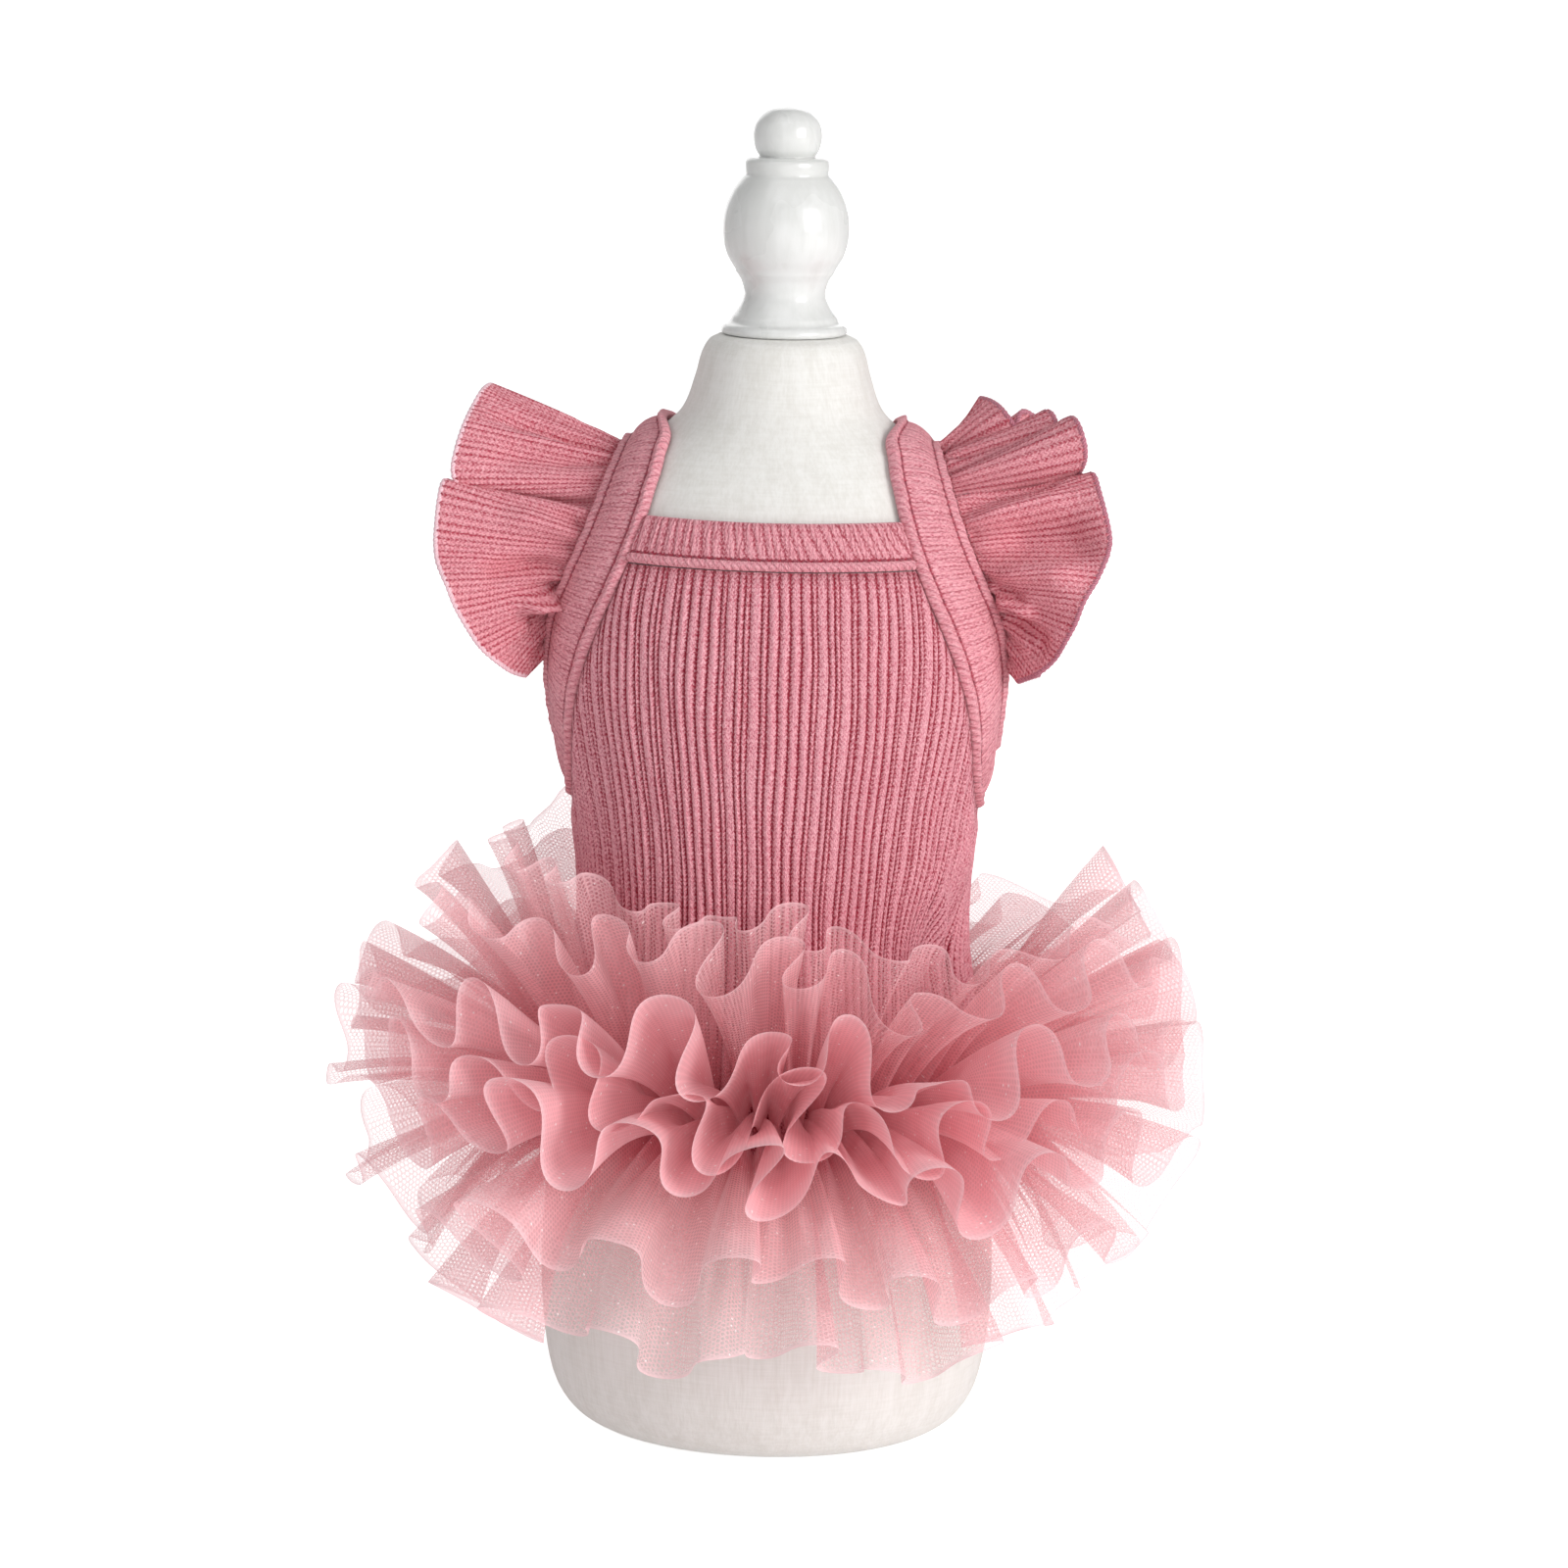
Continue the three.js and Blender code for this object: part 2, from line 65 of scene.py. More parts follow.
def smooth_value(table: Array, column: int, at: Array) -> Array:
    """Read a table's column on the smooth curve through its rows.

    The curve is a cubic Hermite spline whose slope at a row is that of the line through its two neighbours.

    Args:
        table: Rows in rising order of column 0.
        column: The column to read.
        at: Places along column 0.

    Returns:
        The values, shaped as ``at``.
    """
    x, y = table[:, 0], table[:, column]
    rows = np.arange(len(x))
    before, after = np.maximum(rows - 1, 0), np.minimum(rows + 1, len(x) - 1)
    slope = (y[after] - y[before]) / (x[after] - x[before])
    place = np.clip(at, x[0], x[-1])
    i = np.clip(np.searchsorted(x, place, side="left") - 1, 0, len(x) - 2)
    step = x[i + 1] - x[i]
    t = (place - x[i]) / step
    return (
        y[i] * (2 * t**3 - 3 * t**2 + 1)
        + y[i + 1] * (3 * t**2 - 2 * t**3)
        + slope[i] * step * (t**3 - 2 * t**2 + t)
        + slope[i + 1] * step * (t**3 - t**2)
    )


def smooth_step(x: Array) -> Array:
    """Rise softly from 0 to 1 as x does: 3x squared minus 2x cubed, flat outside."""
    t = np.clip(x, 0.0, 1.0)
    return t * t * (3 - 2 * t)


def unit(vectors: Array) -> Array:
    """Scale vectors along the last axis to a length of 1."""
    return vectors / np.maximum(np.linalg.norm(vectors, axis=-1, keepdims=True), 1e-12)


def window(x: Array, low: float, high: float, soft: float) -> Array:
    """Value of 1 between low and high and 0 outside, with a soft step just inside each."""
    return smooth_step((x - low) / soft) * smooth_step((high - x) / soft)


def bell(x: Array, middle: float, half: float) -> Array:
    """Bell curve of height 1: e to the minus square of the distance from the middle in half widths."""
    return np.exp(-(((x - middle) / half) ** 2))


def beat(phase: Array) -> Array:
    """Rise to 1 at whole phases and fall to 0 between them: half of 1 plus the cosine of the turn."""
    return 0.5 + 0.5 * np.cos(TURN * phase)


def waves(rows: Rows, at: Array) -> Array:
    """Sum of size times sine of count times the place as a turn plus an angle: rows of count, size, angle."""
    return sum(size * np.sin(TURN * count * at + angle) for count, size, angle in rows)


def plane_waves(rows: Rows, x: Array, y: Array) -> Array:
    """Sum of size times sine of x over a length plus y times a slant: rows of size, length and slant."""
    return sum(size * np.sin(x / length + y * slant) for size, length, slant in rows)


def line_bells(x: Array, y: Array, rows: Rows, taper: float = 0.35, bow: float = 0.6) -> Array:
    """Sum of soft ridges and troughs, each a bell across a line that fades towards both of its ends.

    Args:
        x: First coordinate.
        y: Second coordinate.
        rows: For each line both ends' coordinates, its height and its half width.
        taper: Share of a line over which it fades at each end.
        bow: How far a line bows aside in its middle, in half widths.

    Returns:
        The heights.
    """
    total = np.zeros(np.broadcast(x, y).shape)
    for x0, y0, x1, y1, height, half in rows:
        way = np.array([x1 - x0, y1 - y0])
        length = float(np.hypot(*way))
        way = way / length
        along = ((x - x0) * way[0] + (y - y0) * way[1]) / length
        off = ((x - x0) * way[1] - (y - y0) * way[0]) / half
        middle = bow * np.sin(np.pi * np.clip(along, 0, 1))
        total = total + height * window(along, 0, 1, taper) * bell(off, middle, 1)
    return total


@dataclass(frozen=True)
class Gathers:
    """Sine waves along a seam whose phase wanders with a slower sine.

    Attributes:
        wander: How far the phase wanders, in radians.
        start: Its angle at the seam's start, in radians.
    """

    count: float
    size: float
    wander: float
    slow: float
    start: float = 0.0

    def at(self, place: Array, angle: float = 0.0) -> Array:
        """Size times the sine of count times the place as a turn, plus the wandering and an angle."""
        drift = self.wander * np.sin(TURN * self.slow * place + self.start)
        return self.size * np.sin(TURN * self.count * place + drift + angle)


def lengths_along(points: Array) -> Array:
    """Distance from the first point of each line to each of its points, along the second last axis."""
    steps = np.linalg.norm(np.diff(points, axis=-2), axis=-1)
    start = np.zeros(steps.shape[:-1] + (1,))
    return np.concatenate([start, np.cumsum(steps, axis=-1)], axis=-1)


@dataclass(frozen=True)
class ClosedCurve:
    """A closed, evenly parametrised Catmull-Rom curve through control points."""

    points: Array

    def at(self, share: Array) -> Array:
        """Point at a share of the points: p1 plus cubic terms with slopes (p2-p0)/2 and (p3-p1)/2."""
        count = len(self.points)
        place = np.mod(share, 1.0) * count
        whole = np.floor(place).astype(int)
        t = (place - whole)[..., None]
        p0, p1, p2, p3 = (self.points[(whole + k) % count] for k in (-1, 0, 1, 2))
        s1, s2 = (p2 - p0) / 2, (p3 - p1) / 2
        return p1 + s1 * t + (3 * (p2 - p1) - 2 * s1 - s2) * t**2 + (2 * (p1 - p2) + s1 + s2) * t**3

    def at_length(self, share: Array, divisions: int = 200) -> Array:
        """Point at a share of the curve's length, measured over a number of divisions."""
        even = np.arange(divisions + 1) / divisions
        measured = lengths_along(self.at(even))
        return self.at(np.interp(np.mod(share, 1.0), measured / measured[-1], even))


# ---------------------------------------------------------------- meshes


def rgb(red: int, green: int, blue: int) -> tuple[float, float, float, float]:
    """Turn display colour values of 0 to 255 into a linear colour."""
    values = np.array([red, green, blue]) / 255
    linear = np.where(values <= 0.04045, values / 12.92, ((values + 0.055) / 1.055) ** 2.4)
    return (float(linear[0]), float(linear[1]), float(linear[2]), 1.0)


def put_mesh(
    name: str,
    points: Array,
    faces: Array,
    uv: Optional[Array] = None,
    attributes: Optional[dict[str, Array]] = None,
) -> bpy.types.Object:
    """Make a smooth-shaded mesh object at the origin.

    Args:
        name: The object's name.
        points: Vertices in millimetres, one a row.
        faces: Vertex numbers, four or three a row.
        uv: Cloth coordinates in metres, one pair for each corner of each face.
        attributes: Named numbers, one for each vertex.

    Returns:
        The new object.
    """
    mesh = bpy.data.meshes.new(name)
    count, corners = faces.shape
    mesh.vertices.add(len(points))
    mesh.vertices.foreach_set("co", np.asarray(points * MM, np.float32).ravel())
    mesh.loops.add(count * corners)
    mesh.loops.foreach_set("vertex_index", np.asarray(faces, np.int32).ravel())
    mesh.polygons.add(count)
    mesh.polygons.foreach_set("loop_start", np.arange(0, count * corners, corners, dtype=np.int32))
    mesh.polygons.foreach_set("use_smooth", np.ones(count, bool))
    if uv is not None:
        layer = mesh.uv_layers.new(name=CLOTH_UV)
        layer.uv.foreach_set("vector", np.asarray(uv, np.float32).ravel())
    for key, values in (attributes or {}).items():
        layer = mesh.attributes.new(key, "FLOAT", "POINT")
        layer.data.foreach_set("value", np.asarray(values, np.float32).ravel())
    mesh.update(calc_edges=True)
    mesh.validate()
    piece = bpy.data.objects.new(name, mesh)
    bpy.context.scene.collection.objects.link(piece)
    return piece


def grid_quads(rows: int, columns: int, wrap: bool, first: int = 0) -> Array:
    """Vertex numbers of a grid's quads, facing out where rows go up and columns go to the right.

    Args:
        rows: Number of rows.
        columns: Number of columns.
        wrap: Whether the last column joins the first.
        first: Number of the grid's first vertex.

    Returns:
        One quad a row.
    """
    spans = columns if wrap else columns - 1
    i, j = np.meshgrid(np.arange(rows - 1), np.arange(spans), indexing="ij")
    k = (j + 1) % columns
    quads = np.stack([i * columns + j, i * columns + k, (i + 1) * columns + k, (i + 1) * columns + j], -1)
    return quads.reshape(-1, 4) + first


def grid_corners(u: Array, v: Array) -> Array:
    """Cloth coordinates of each corner of a grid's quads, in metres.

    Args:
        u: Coordinate along the rows, with one column more than a wrapped grid has.
        v: Coordinate along the columns, shaped as ``u``.

    Returns:
        Four pairs for each quad.
    """
    uv = np.stack([u, v], -1) * MM
    return np.stack([uv[:-1, :-1], uv[:-1, 1:], uv[1:, 1:], uv[1:, :-1]], 2).reshape(-1, 4, 2)


def rim_quads(line: Array, pairs: Array, count: int, turned: bool) -> tuple[Array, Array]:
    """Join a line of the outer grid to the same line of the inner one.

    Args:
        line: Numbers of the outer grid's vertices along the line.
        pairs: Cloth coordinates along the line.
        count: Vertices in the outer grid.
        turned: Whether the quads face the other way.

    Returns:
        The quads and their corners' cloth coordinates.
    """
    low, high = line[:-1], line[1:]
    quads = np.stack([high, low, low + count, high + count], -1)
    corners = np.stack([pairs[1:], pairs[:-1], pairs[:-1], pairs[1:]], 1)
    return (quads[:, ::-1], corners[:, ::-1]) if turned else (quads, corners)


def cloth_shell(
    name: str, outer: Array, inner: Array, wrap: bool, u: Array, v: Array, attributes: dict[str, Array]
) -> bpy.types.Object:
    """Close two grids of the same size into one wall of cloth with rims.

    Args:
        name: The object's name.
        outer: The outer grid of points.
        inner: The inner grid of points.
        wrap: Whether the grids close round.
        u: Cloth coordinate along a row, one more column than the grid where it wraps.
        v: Cloth coordinate across the rows.
        attributes: Named numbers on the grid's points.

    Returns:
        The new object.
    """
    rows, columns = outer.shape[:2]
    count = rows * columns
    quads, corners = grid_quads(rows, columns, wrap), grid_corners(u, v)
    numbers = np.arange(count).reshape(rows, columns)
    if wrap:
        numbers = np.concatenate([numbers, numbers[:, :1]], 1)
    pairs = np.stack([u, v], -1) * MM
    parts = [(quads, corners), (quads[:, ::-1] + count, corners[:, ::-1])]
    parts += [rim_quads(numbers[row], pairs[row], count, turned) for row, turned in ((0, False), (-1, True))]
    if not wrap:
        ends = ((0, True), (-1, False))
        parts += [rim_quads(numbers[:, end], pairs[:, end], count, turned) for end, turned in ends]
    faces, uvs = (np.concatenate(group) for group in zip(*parts))
    points = np.concatenate([outer.reshape(-1, 3), inner.reshape(-1, 3)])
    doubled = {key: np.concatenate([values.ravel(), values.ravel()]) for key, values in attributes.items()}
    return put_mesh(name, points, faces, uvs, doubled)


def fan_quads(sides: int) -> Array:
    """Quads of a flat lid on a ring with an even number of points, facing against the ring's turn."""
    first = np.arange(0, sides - 2, 2)
    return np.stack([first + 3, first + 2, first + 1, 0 * first], -1) % sides


# A direction that no swept path follows, to set a section upright by.
SLANT = np.array([0.31, 0.17, 0.93])


def swept_cord(name: str, path: Array, radius: Array, sides: int) -> bpy.types.Object:
    """Carry a round section along an open path and close its ends.

    The section's first direction is the path's tangent crossed with a fixed slanting direction.

    Args:
        name: The object's name.
        path: Centres of the sections, one a row, in millimetres.
        radius: The radius at each centre.
        sides: Even number of sides of the section.

    Returns:
        The new object.
    """
    tangent = unit(np.vstack([path[1:], path[-1:]]) - np.vstack([path[:1], path[:-1]]))
    side = unit(np.cross(tangent, SLANT))
    up = np.cross(side, tangent)
    turn = np.linspace(0, TURN, sides, endpoint=False)
    ring = np.cos(turn)[None, :, None] * side[:, None] + np.sin(turn)[None, :, None] * up[:, None]
    points = path[:, None] + radius[:, None, None] * ring
    girth = np.linspace(0, TURN * float(radius.mean()), sides + 1)
    u, v = np.broadcast_arrays(lengths_along(path)[:, None], girth)
    quads, corners = grid_quads(len(path), sides, True)[:, ::-1], grid_corners(u, v)[:, ::-1]
    lid = fan_quads(sides)
    faces = np.concatenate([quads, lid[:, ::-1], lid + (len(path) - 1) * sides])
    uv = np.concatenate([corners, np.zeros((2 * len(lid), 4, 2))])
    return put_mesh(name, points.reshape(-1, 3), faces, uv)


def stitch_row(
    surface: Callable[..., Array], along: Array, across: float, lift: float, step: float
) -> tuple[Array, Array, Array]:
    """Set out a row of stitches on a surface.

    Args:
        surface: Gives points for places along, places across and heights above.
        along: Where the stitches are along the surface.
        across: Where the row is across it.
        lift: Height of the row.
        step: How far ahead along the surface each stitch points.

    Returns:
        The stitches' middles, unit directions and unit directions out of the cloth.
    """
    level, height = np.full_like(along, across), np.full_like(along, lift)
    here, ahead = surface(along, level, height), surface(along + step, level, height)
    above = surface(along, level, height + 1)
    return here, unit(ahead - here), unit(above - here)


def stitches(
    name: str, centres: Array, along: Array, out: Array, length: float, radius: float
) -> bpy.types.Object:
    """Lay many short threads, each a six-sided spindle bedded half into the cloth, in one mesh.

    Args:
        name: The object's name.
        centres: Middle of each stitch.
        along: Unit direction of each stitch.
        out: Unit direction out of the cloth at each stitch.
        length: Length of a stitch in millimetres.
        radius: Radius at its middle.

    Returns:
        The new object.
    """
    # Share of the length, share of the radius and dip into the cloth in radii at each ring of a spindle.
    stations = np.array([-0.5, -0.36, 0.0, 0.36, 0.5])
    girths = np.array([0.3, 0.85, 1.0, 0.85, 0.3])
    dips = np.array([-0.7, -0.15, 0.15, -0.15, -0.7])
    sides = 6
    turn = np.linspace(0, 2 * np.pi, sides, endpoint=False)
    across = np.cross(along, out)
    ring = np.cos(turn)[:, None] * out[:, None] + np.sin(turn)[:, None] * across[:, None]
    spine = (
        centres[:, None]
        + length * stations[None, :, None] * along[:, None]
        + radius * dips[None, :, None] * out[:, None]
    )
    points = spine[:, :, None] + radius * girths[None, :, None, None] * ring[:, None]
    base = grid_quads(len(stations), sides, True)
    lid = fan_quads(sides)
    one = np.concatenate([base, lid, lid[:, ::-1] + (len(stations) - 1) * sides])
    size = len(stations) * sides
    faces = (np.arange(len(centres))[:, None, None] * size + one[None]).reshape(-1, 4)
    corner = points.reshape(-1, 3)[faces]
    uv = np.stack([corner[..., 2], corner[..., 0] + corner[..., 1]], -1) * MM
    return put_mesh(name, points.reshape(-1, 3), faces, uv)


# ---------------------------------------------------------------- shader nodes


class Shader:
    """A small builder for one node tree."""

    def __init__(self, tree: bpy.types.NodeTree) -> None:
        """Keep the tree that the nodes go into."""
        self.tree = tree

    def node(self, kind: str, **inputs: object) -> bpy.types.Node:
        """Add a node and set or link its inputs.

        Args:
            kind: The node's type without its ShaderNode prefix.
            **inputs: Socket names with spaces as underscores, or i0, i1 for a socket's place, to values or
                output sockets.

        Returns:
            The new node.
        """
        made = self.tree.nodes.new("ShaderNode" + kind)
        for key, value in inputs.items():
            place = int(key[1:]) if key[0] == "i" and key[1:].isdigit() else key.replace("_", " ")
            self.feed(made.inputs[place], value)
        return made

    def feed(self, socket: bpy.types.NodeSocket, value: object) -> None:
        """Link an output to a socket, or set the socket's value."""
        if isinstance(value, bpy.types.NodeSocket):
            self.tree.links.new(value, socket)
        else:
            socket.default_value = value

    def maths(self, operation: str, *values: object, clamp: bool = False) -> bpy.types.NodeSocket:
        """Add a Math node and return its result."""
        made = self.node("Math", **{f"i{n}": value for n, value in enumerate(values)})
        made.operation = operation
        made.use_clamp = clamp
        return made.outputs[0]

    def blend(self, mask: object, low: object, high: object) -> bpy.types.NodeSocket:
        """Mix two colours by a mask and return the colour."""
        made = self.tree.nodes.new("ShaderNodeMix")
        made.data_type = "RGBA"
        self.feed(made.inputs["Factor"], mask)
        self.feed(made.inputs[6], low)
        self.feed(made.inputs[7], high)
        return made.outputs[2]

    def between(self, value: object, low: float, high: float) -> bpy.types.NodeSocket:
        """Map a value from the range low to high smoothly onto 0 to 1."""
        made = self.node("MapRange", Value=value, From_Min=low, From_Max=high)
        made.interpolation_type = "SMOOTHSTEP"
        return made.outputs[0]

    def noise(
        self, vector: object, scale: float, detail: float = 2.0, rough: float = 0.5
    ) -> bpy.types.NodeSocket:
        """Add a Noise Texture and return its value."""
        return self.node("TexNoise", Vector=vector, Scale=scale, Detail=detail, Roughness=rough).outputs[0]

    def stretched(self, vector: object, scale: Sequence[float]) -> bpy.types.NodeSocket:
        """Scale a vector's three directions."""
        return self.node("Mapping", Vector=vector, Scale=tuple(scale)).outputs[0]

    def sine(self, turns: object, circle: float = TURN) -> bpy.types.NodeSocket:
        """Sine of a number of turns, or of another multiple than the full circle."""
        return self.maths("SINE", self.maths("MULTIPLY", turns, circle))

    def cloth(self) -> bpy.types.NodeSocket:
        """Read the piece's cloth coordinates."""
        made = self.node("UVMap")
        made.uv_map = CLOTH_UV
        return made.outputs[0]

    def mark(self, name: str) -> bpy.types.NodeSocket:
        """Read one of the piece's named numbers."""
        made = self.node("Attribute")
        made.attribute_name = name
        return made.outputs["Fac"]

    def bump(self, height: object, strength: float, distance: float) -> bpy.types.NodeSocket:
        """Turn a height into a normal."""
        return self.node("Bump", Height=height, Strength=strength, Distance=distance).outputs[0]

    def finish(self, principled: bpy.types.Node, **inputs: object) -> None:
        """Link or set the Principled shader's inputs, named with underscores for spaces."""
        for key, value in inputs.items():
            self.feed(principled.inputs[key.replace("_", " ")], value)


def shader_group(
    name: str, inputs: Sequence[tuple[str, str, float]], outputs: Sequence[str], build: Callable
) -> bpy.types.NodeTree:
    """Make a shader node group.

    Args:
        name: The group's name.
        inputs: Name, socket type and default of each input. A vector has no default.
        outputs: Names of its outputs, all numbers.
        build: Called with the builder and the input sockets by name; returns the output sockets by name.

    Returns:
        The node group.
    """
    tree = bpy.data.node_groups.new(name, "ShaderNodeTree")
    for label, kind, default in inputs:
        socket = tree.interface.new_socket(label, in_out="INPUT", socket_type=kind)
        if kind == "NodeSocketFloat":
            socket.default_value = default
    for label in outputs:
        tree.interface.new_socket(label, in_out="OUTPUT", socket_type="NodeSocketFloat")
    shader = Shader(tree)
    start = tree.nodes.new("NodeGroupInput")
    end = tree.nodes.new("NodeGroupOutput")
    made = build(shader, {label: start.outputs[label] for label, _, _ in inputs})
    for label in outputs:
        tree.links.new(made[label], end.inputs[label])
    return tree


def knit_group() -> bpy.types.NodeTree:
    """Rows of knit stitches: each wale is a column of small Vs, raised along its two legs."""

    def build(s: Shader, inputs: dict) -> dict:
        """Legs are a sine of the course plus a slant across the wale, and fall off at its edge."""
        parts = s.node("SeparateXYZ", Vector=inputs["Vector"])
        x = s.maths("DIVIDE", parts.outputs[0], inputs["Wale"])
        y = s.maths("DIVIDE", parts.outputs[1], inputs["Course"])
        across = s.maths("ABSOLUTE", s.maths("SUBTRACT", s.maths("FRACT", x), 0.5))
        wobble = s.maths("MULTIPLY", s.noise(inputs["Vector"], 900.0), 0.35)
        slant = s.maths("ADD", s.maths("ADD", y, s.maths("MULTIPLY", across, 1.2)), wobble)
        legs = s.maths("MULTIPLY_ADD", s.sine(slant), 0.5, 0.5)
        crown = s.maths("SUBTRACT", 1.0, s.maths("POWER", s.maths("MULTIPLY", across, 2.0), 3.0))
        split = s.maths("MULTIPLY_ADD", s.between(across, 0.0, 0.12), 0.4, 0.6)
        return {"Height": s.maths("MULTIPLY", s.maths("MULTIPLY", legs, crown), split), "Stitch": legs}

    sockets = (
        ("Vector", "NodeSocketVector", 0.0),
        ("Wale", "NodeSocketFloat", 0.0012),
        ("Course", "NodeSocketFloat", 0.0009),
    )
    return shader_group("knit_stitches", sockets, ("Height", "Stitch"), build)


def heather_group() -> bpy.types.NodeTree:
    """Two-tone heather: short streaks of lighter fibre along the yarn, with a slow drift of tone."""

    def build(s: Shader, inputs: dict) -> dict:
        """Fibre is half of a stretched fine noise plus half of a finer one; the drift is a coarse noise."""
        streaks = s.noise(s.stretched(inputs["Vector"], (1.0, 0.35, 1.0)), 2100.0, 2.0, 0.6)
        specks = s.noise(inputs["Vector"], 3600.0, 2.0, 0.6)
        both = s.maths("MULTIPLY_ADD", specks, 0.5, s.maths("MULTIPLY", streaks, 0.5))
        drift = s.noise(inputs["Vector"], 55.0, 3.0, 0.55)
        return {"Fibre": s.between(both, 0.38, 0.62), "Drift": s.between(drift, 0.3, 0.7)}

    return shader_group("heather", (("Vector", "NodeSocketVector", 0.0),), ("Fibre", "Drift"), build)


def slub_group() -> bpy.types.NodeTree:
    """Fine uneven lines across the cloth's length, and the slanting turns of a rolled edge."""

    def build(s: Shader, inputs: dict) -> dict:
        """Lines are a sine along the cloth, moved and thinned by noises, and turns a slanted sine."""
        parts = s.node("SeparateXYZ", Vector=inputs["Vector"])
        turns = s.maths("DIVIDE", parts.outputs[0], inputs["Pitch"])
        wander = s.maths("MULTIPLY", s.noise(inputs["Vector"], 330.0), 1.6)
        wave = s.sine(s.maths("ADD", turns, wander))
        patch = s.between(s.noise(s.stretched(inputs["Vector"], (1.0, 0.35, 1.0)), 420.0), 0.38, 0.62)
        line = s.maths("MULTIPLY", s.between(wave, -0.1, 1.0), s.maths("MULTIPLY_ADD", patch, 0.75, 0.25))
        steep = s.maths("MULTIPLY", turns, 0.62)
        slant = s.maths("MULTIPLY_ADD", s.maths("DIVIDE", parts.outputs[1], inputs["Pitch"]), 0.6, steep)
        return {"Line": line, "Twist": s.between(s.sine(slant), 0.0, 1.0)}

    sockets = (("Vector", "NodeSocketVector", 0.0), ("Pitch", "NodeSocketFloat", 0.0011))
    return shader_group("slub_lines", sockets, ("Line", "Twist"), build)


def net_group() -> bpy.types.NodeTree:
    """Six-sided net: three cosines sixty degrees apart, low on the threads and high in the holes."""

    def build(s: Shader, inputs: dict) -> dict:
        """The cosines are of x and of half the root of 3 times y plus and minus half x, in cells."""
        parts = s.node("SeparateXYZ", Vector=inputs["Vector"])
        factor = s.maths("DIVIDE", 2 * TURN / math.sqrt(3), inputs["Cell"])
        x, y = (s.maths("MULTIPLY", parts.outputs[axis], factor) for axis in (0, 1))
        half_x = s.maths("MULTIPLY", x, 0.5)
        rise_y = s.maths("MULTIPLY", y, math.sqrt(3) / 2)
        first = s.maths("COSINE", x)
        second = s.maths("COSINE", s.maths("ADD", half_x, rise_y))
        third = s.maths("COSINE", s.maths("SUBTRACT", rise_y, half_x))
        total = s.maths("ADD", first, s.maths("ADD", second, third))
        return {"Thread": s.between(total, 0.7, -0.6)}

    sockets = (("Vector", "NodeSocketVector", 0.0), ("Cell", "NodeSocketFloat", 0.0011))
    return shader_group("tulle_net", sockets, ("Thread",), build)


def glitter_group() -> bpy.types.NodeTree:
    """Specks of glitter: the hearts of a few random cells."""

    def build(s: Shader, inputs: dict) -> dict:
        """A speck is a cell's heart where the cell's own random number passes the rarity."""
        cells = s.node("TexVoronoi", Vector=inputs["Vector"], Scale=inputs["Scale"])
        heart = s.between(cells.outputs["Distance"], 0.24, 0.14)
        pick = s.node("SeparateXYZ", Vector=cells.outputs["Color"]).outputs[0]
        return {"Speck": s.maths("MULTIPLY", heart, s.maths("GREATER_THAN", pick, inputs["Rarity"]))}

    sockets = (
        ("Vector", "NodeSocketVector", 0.0),
        ("Scale", "NodeSocketFloat", 600.0),
        ("Rarity", "NodeSocketFloat", 0.85),
    )
    return shader_group("glitter", sockets, ("Speck",), build)


def linen_group() -> bpy.types.NodeTree:
    """Fine weave: long upright yarns crossed by fainter level ones, each uneven along its length."""

    def build(s: Shader, inputs: dict) -> dict:
        """Yarns are noises drawn out up or along; the shade mixes their height with a coarser upright one."""
        vector = inputs["Vector"]
        upright = s.noise(s.stretched(vector, (1.0, 1.0, 0.04)), 1300.0, 2.0, 0.6)
        level = s.noise(s.stretched(vector, (0.06, 0.06, 1.0)), 1500.0, 2.0, 0.6)
        slub = s.noise(s.stretched(vector, (1.0, 1.0, 0.03)), 260.0, 2.0, 0.5)
        height = s.maths("MULTIPLY_ADD", level, 0.45, s.maths("MULTIPLY", upright, 0.75))
        shade = s.maths("MULTIPLY_ADD", slub, 0.4, s.maths("MULTIPLY", height, 0.6))
        return {"Height": height, "Shade": s.between(shade, 0.35, 0.75)}

    return shader_group("linen_weave", (("Vector", "NodeSocketVector", 0.0),), ("Height", "Shade"), build)


@dataclass
class Effects:
    """The shared shader groups, each made once."""

    knit: bpy.types.NodeTree = field(default_factory=knit_group)
    heather: bpy.types.NodeTree = field(default_factory=heather_group)
    slub: bpy.types.NodeTree = field(default_factory=slub_group)
    net: bpy.types.NodeTree = field(default_factory=net_group)
    glitter: bpy.types.NodeTree = field(default_factory=glitter_group)
    linen: bpy.types.NodeTree = field(default_factory=linen_group)

    @staticmethod
    def place(shader: Shader, tree: bpy.types.NodeTree, **inputs: object) -> bpy.types.Node:
        """Put a group into a material and feed it.

        Args:
            shader: The material's builder.
            tree: The group.
            **inputs: Its inputs by name.

        Returns:
            The group's node.
        """
        made = shader.tree.nodes.new("ShaderNodeGroup")
        made.node_tree = tree
        for key, value in inputs.items():
            shader.feed(made.inputs[key], value)
        return made


def new_material(name: str) -> tuple[bpy.types.Material, Shader, bpy.types.Node]:
    """Make a material that holds one Principled shader.

    Args:
        name: The material's name.

    Returns:
        The material, its node builder and the Principled node.
    """
    material = bpy.data.materials.new(name)
    material.use_nodes = True
    tree = material.node_tree
    principled = next(n for n in tree.nodes if n.type == "BSDF_PRINCIPLED")
    return material, Shader(tree), principled


# ---------------------------------------------------------------- finishes


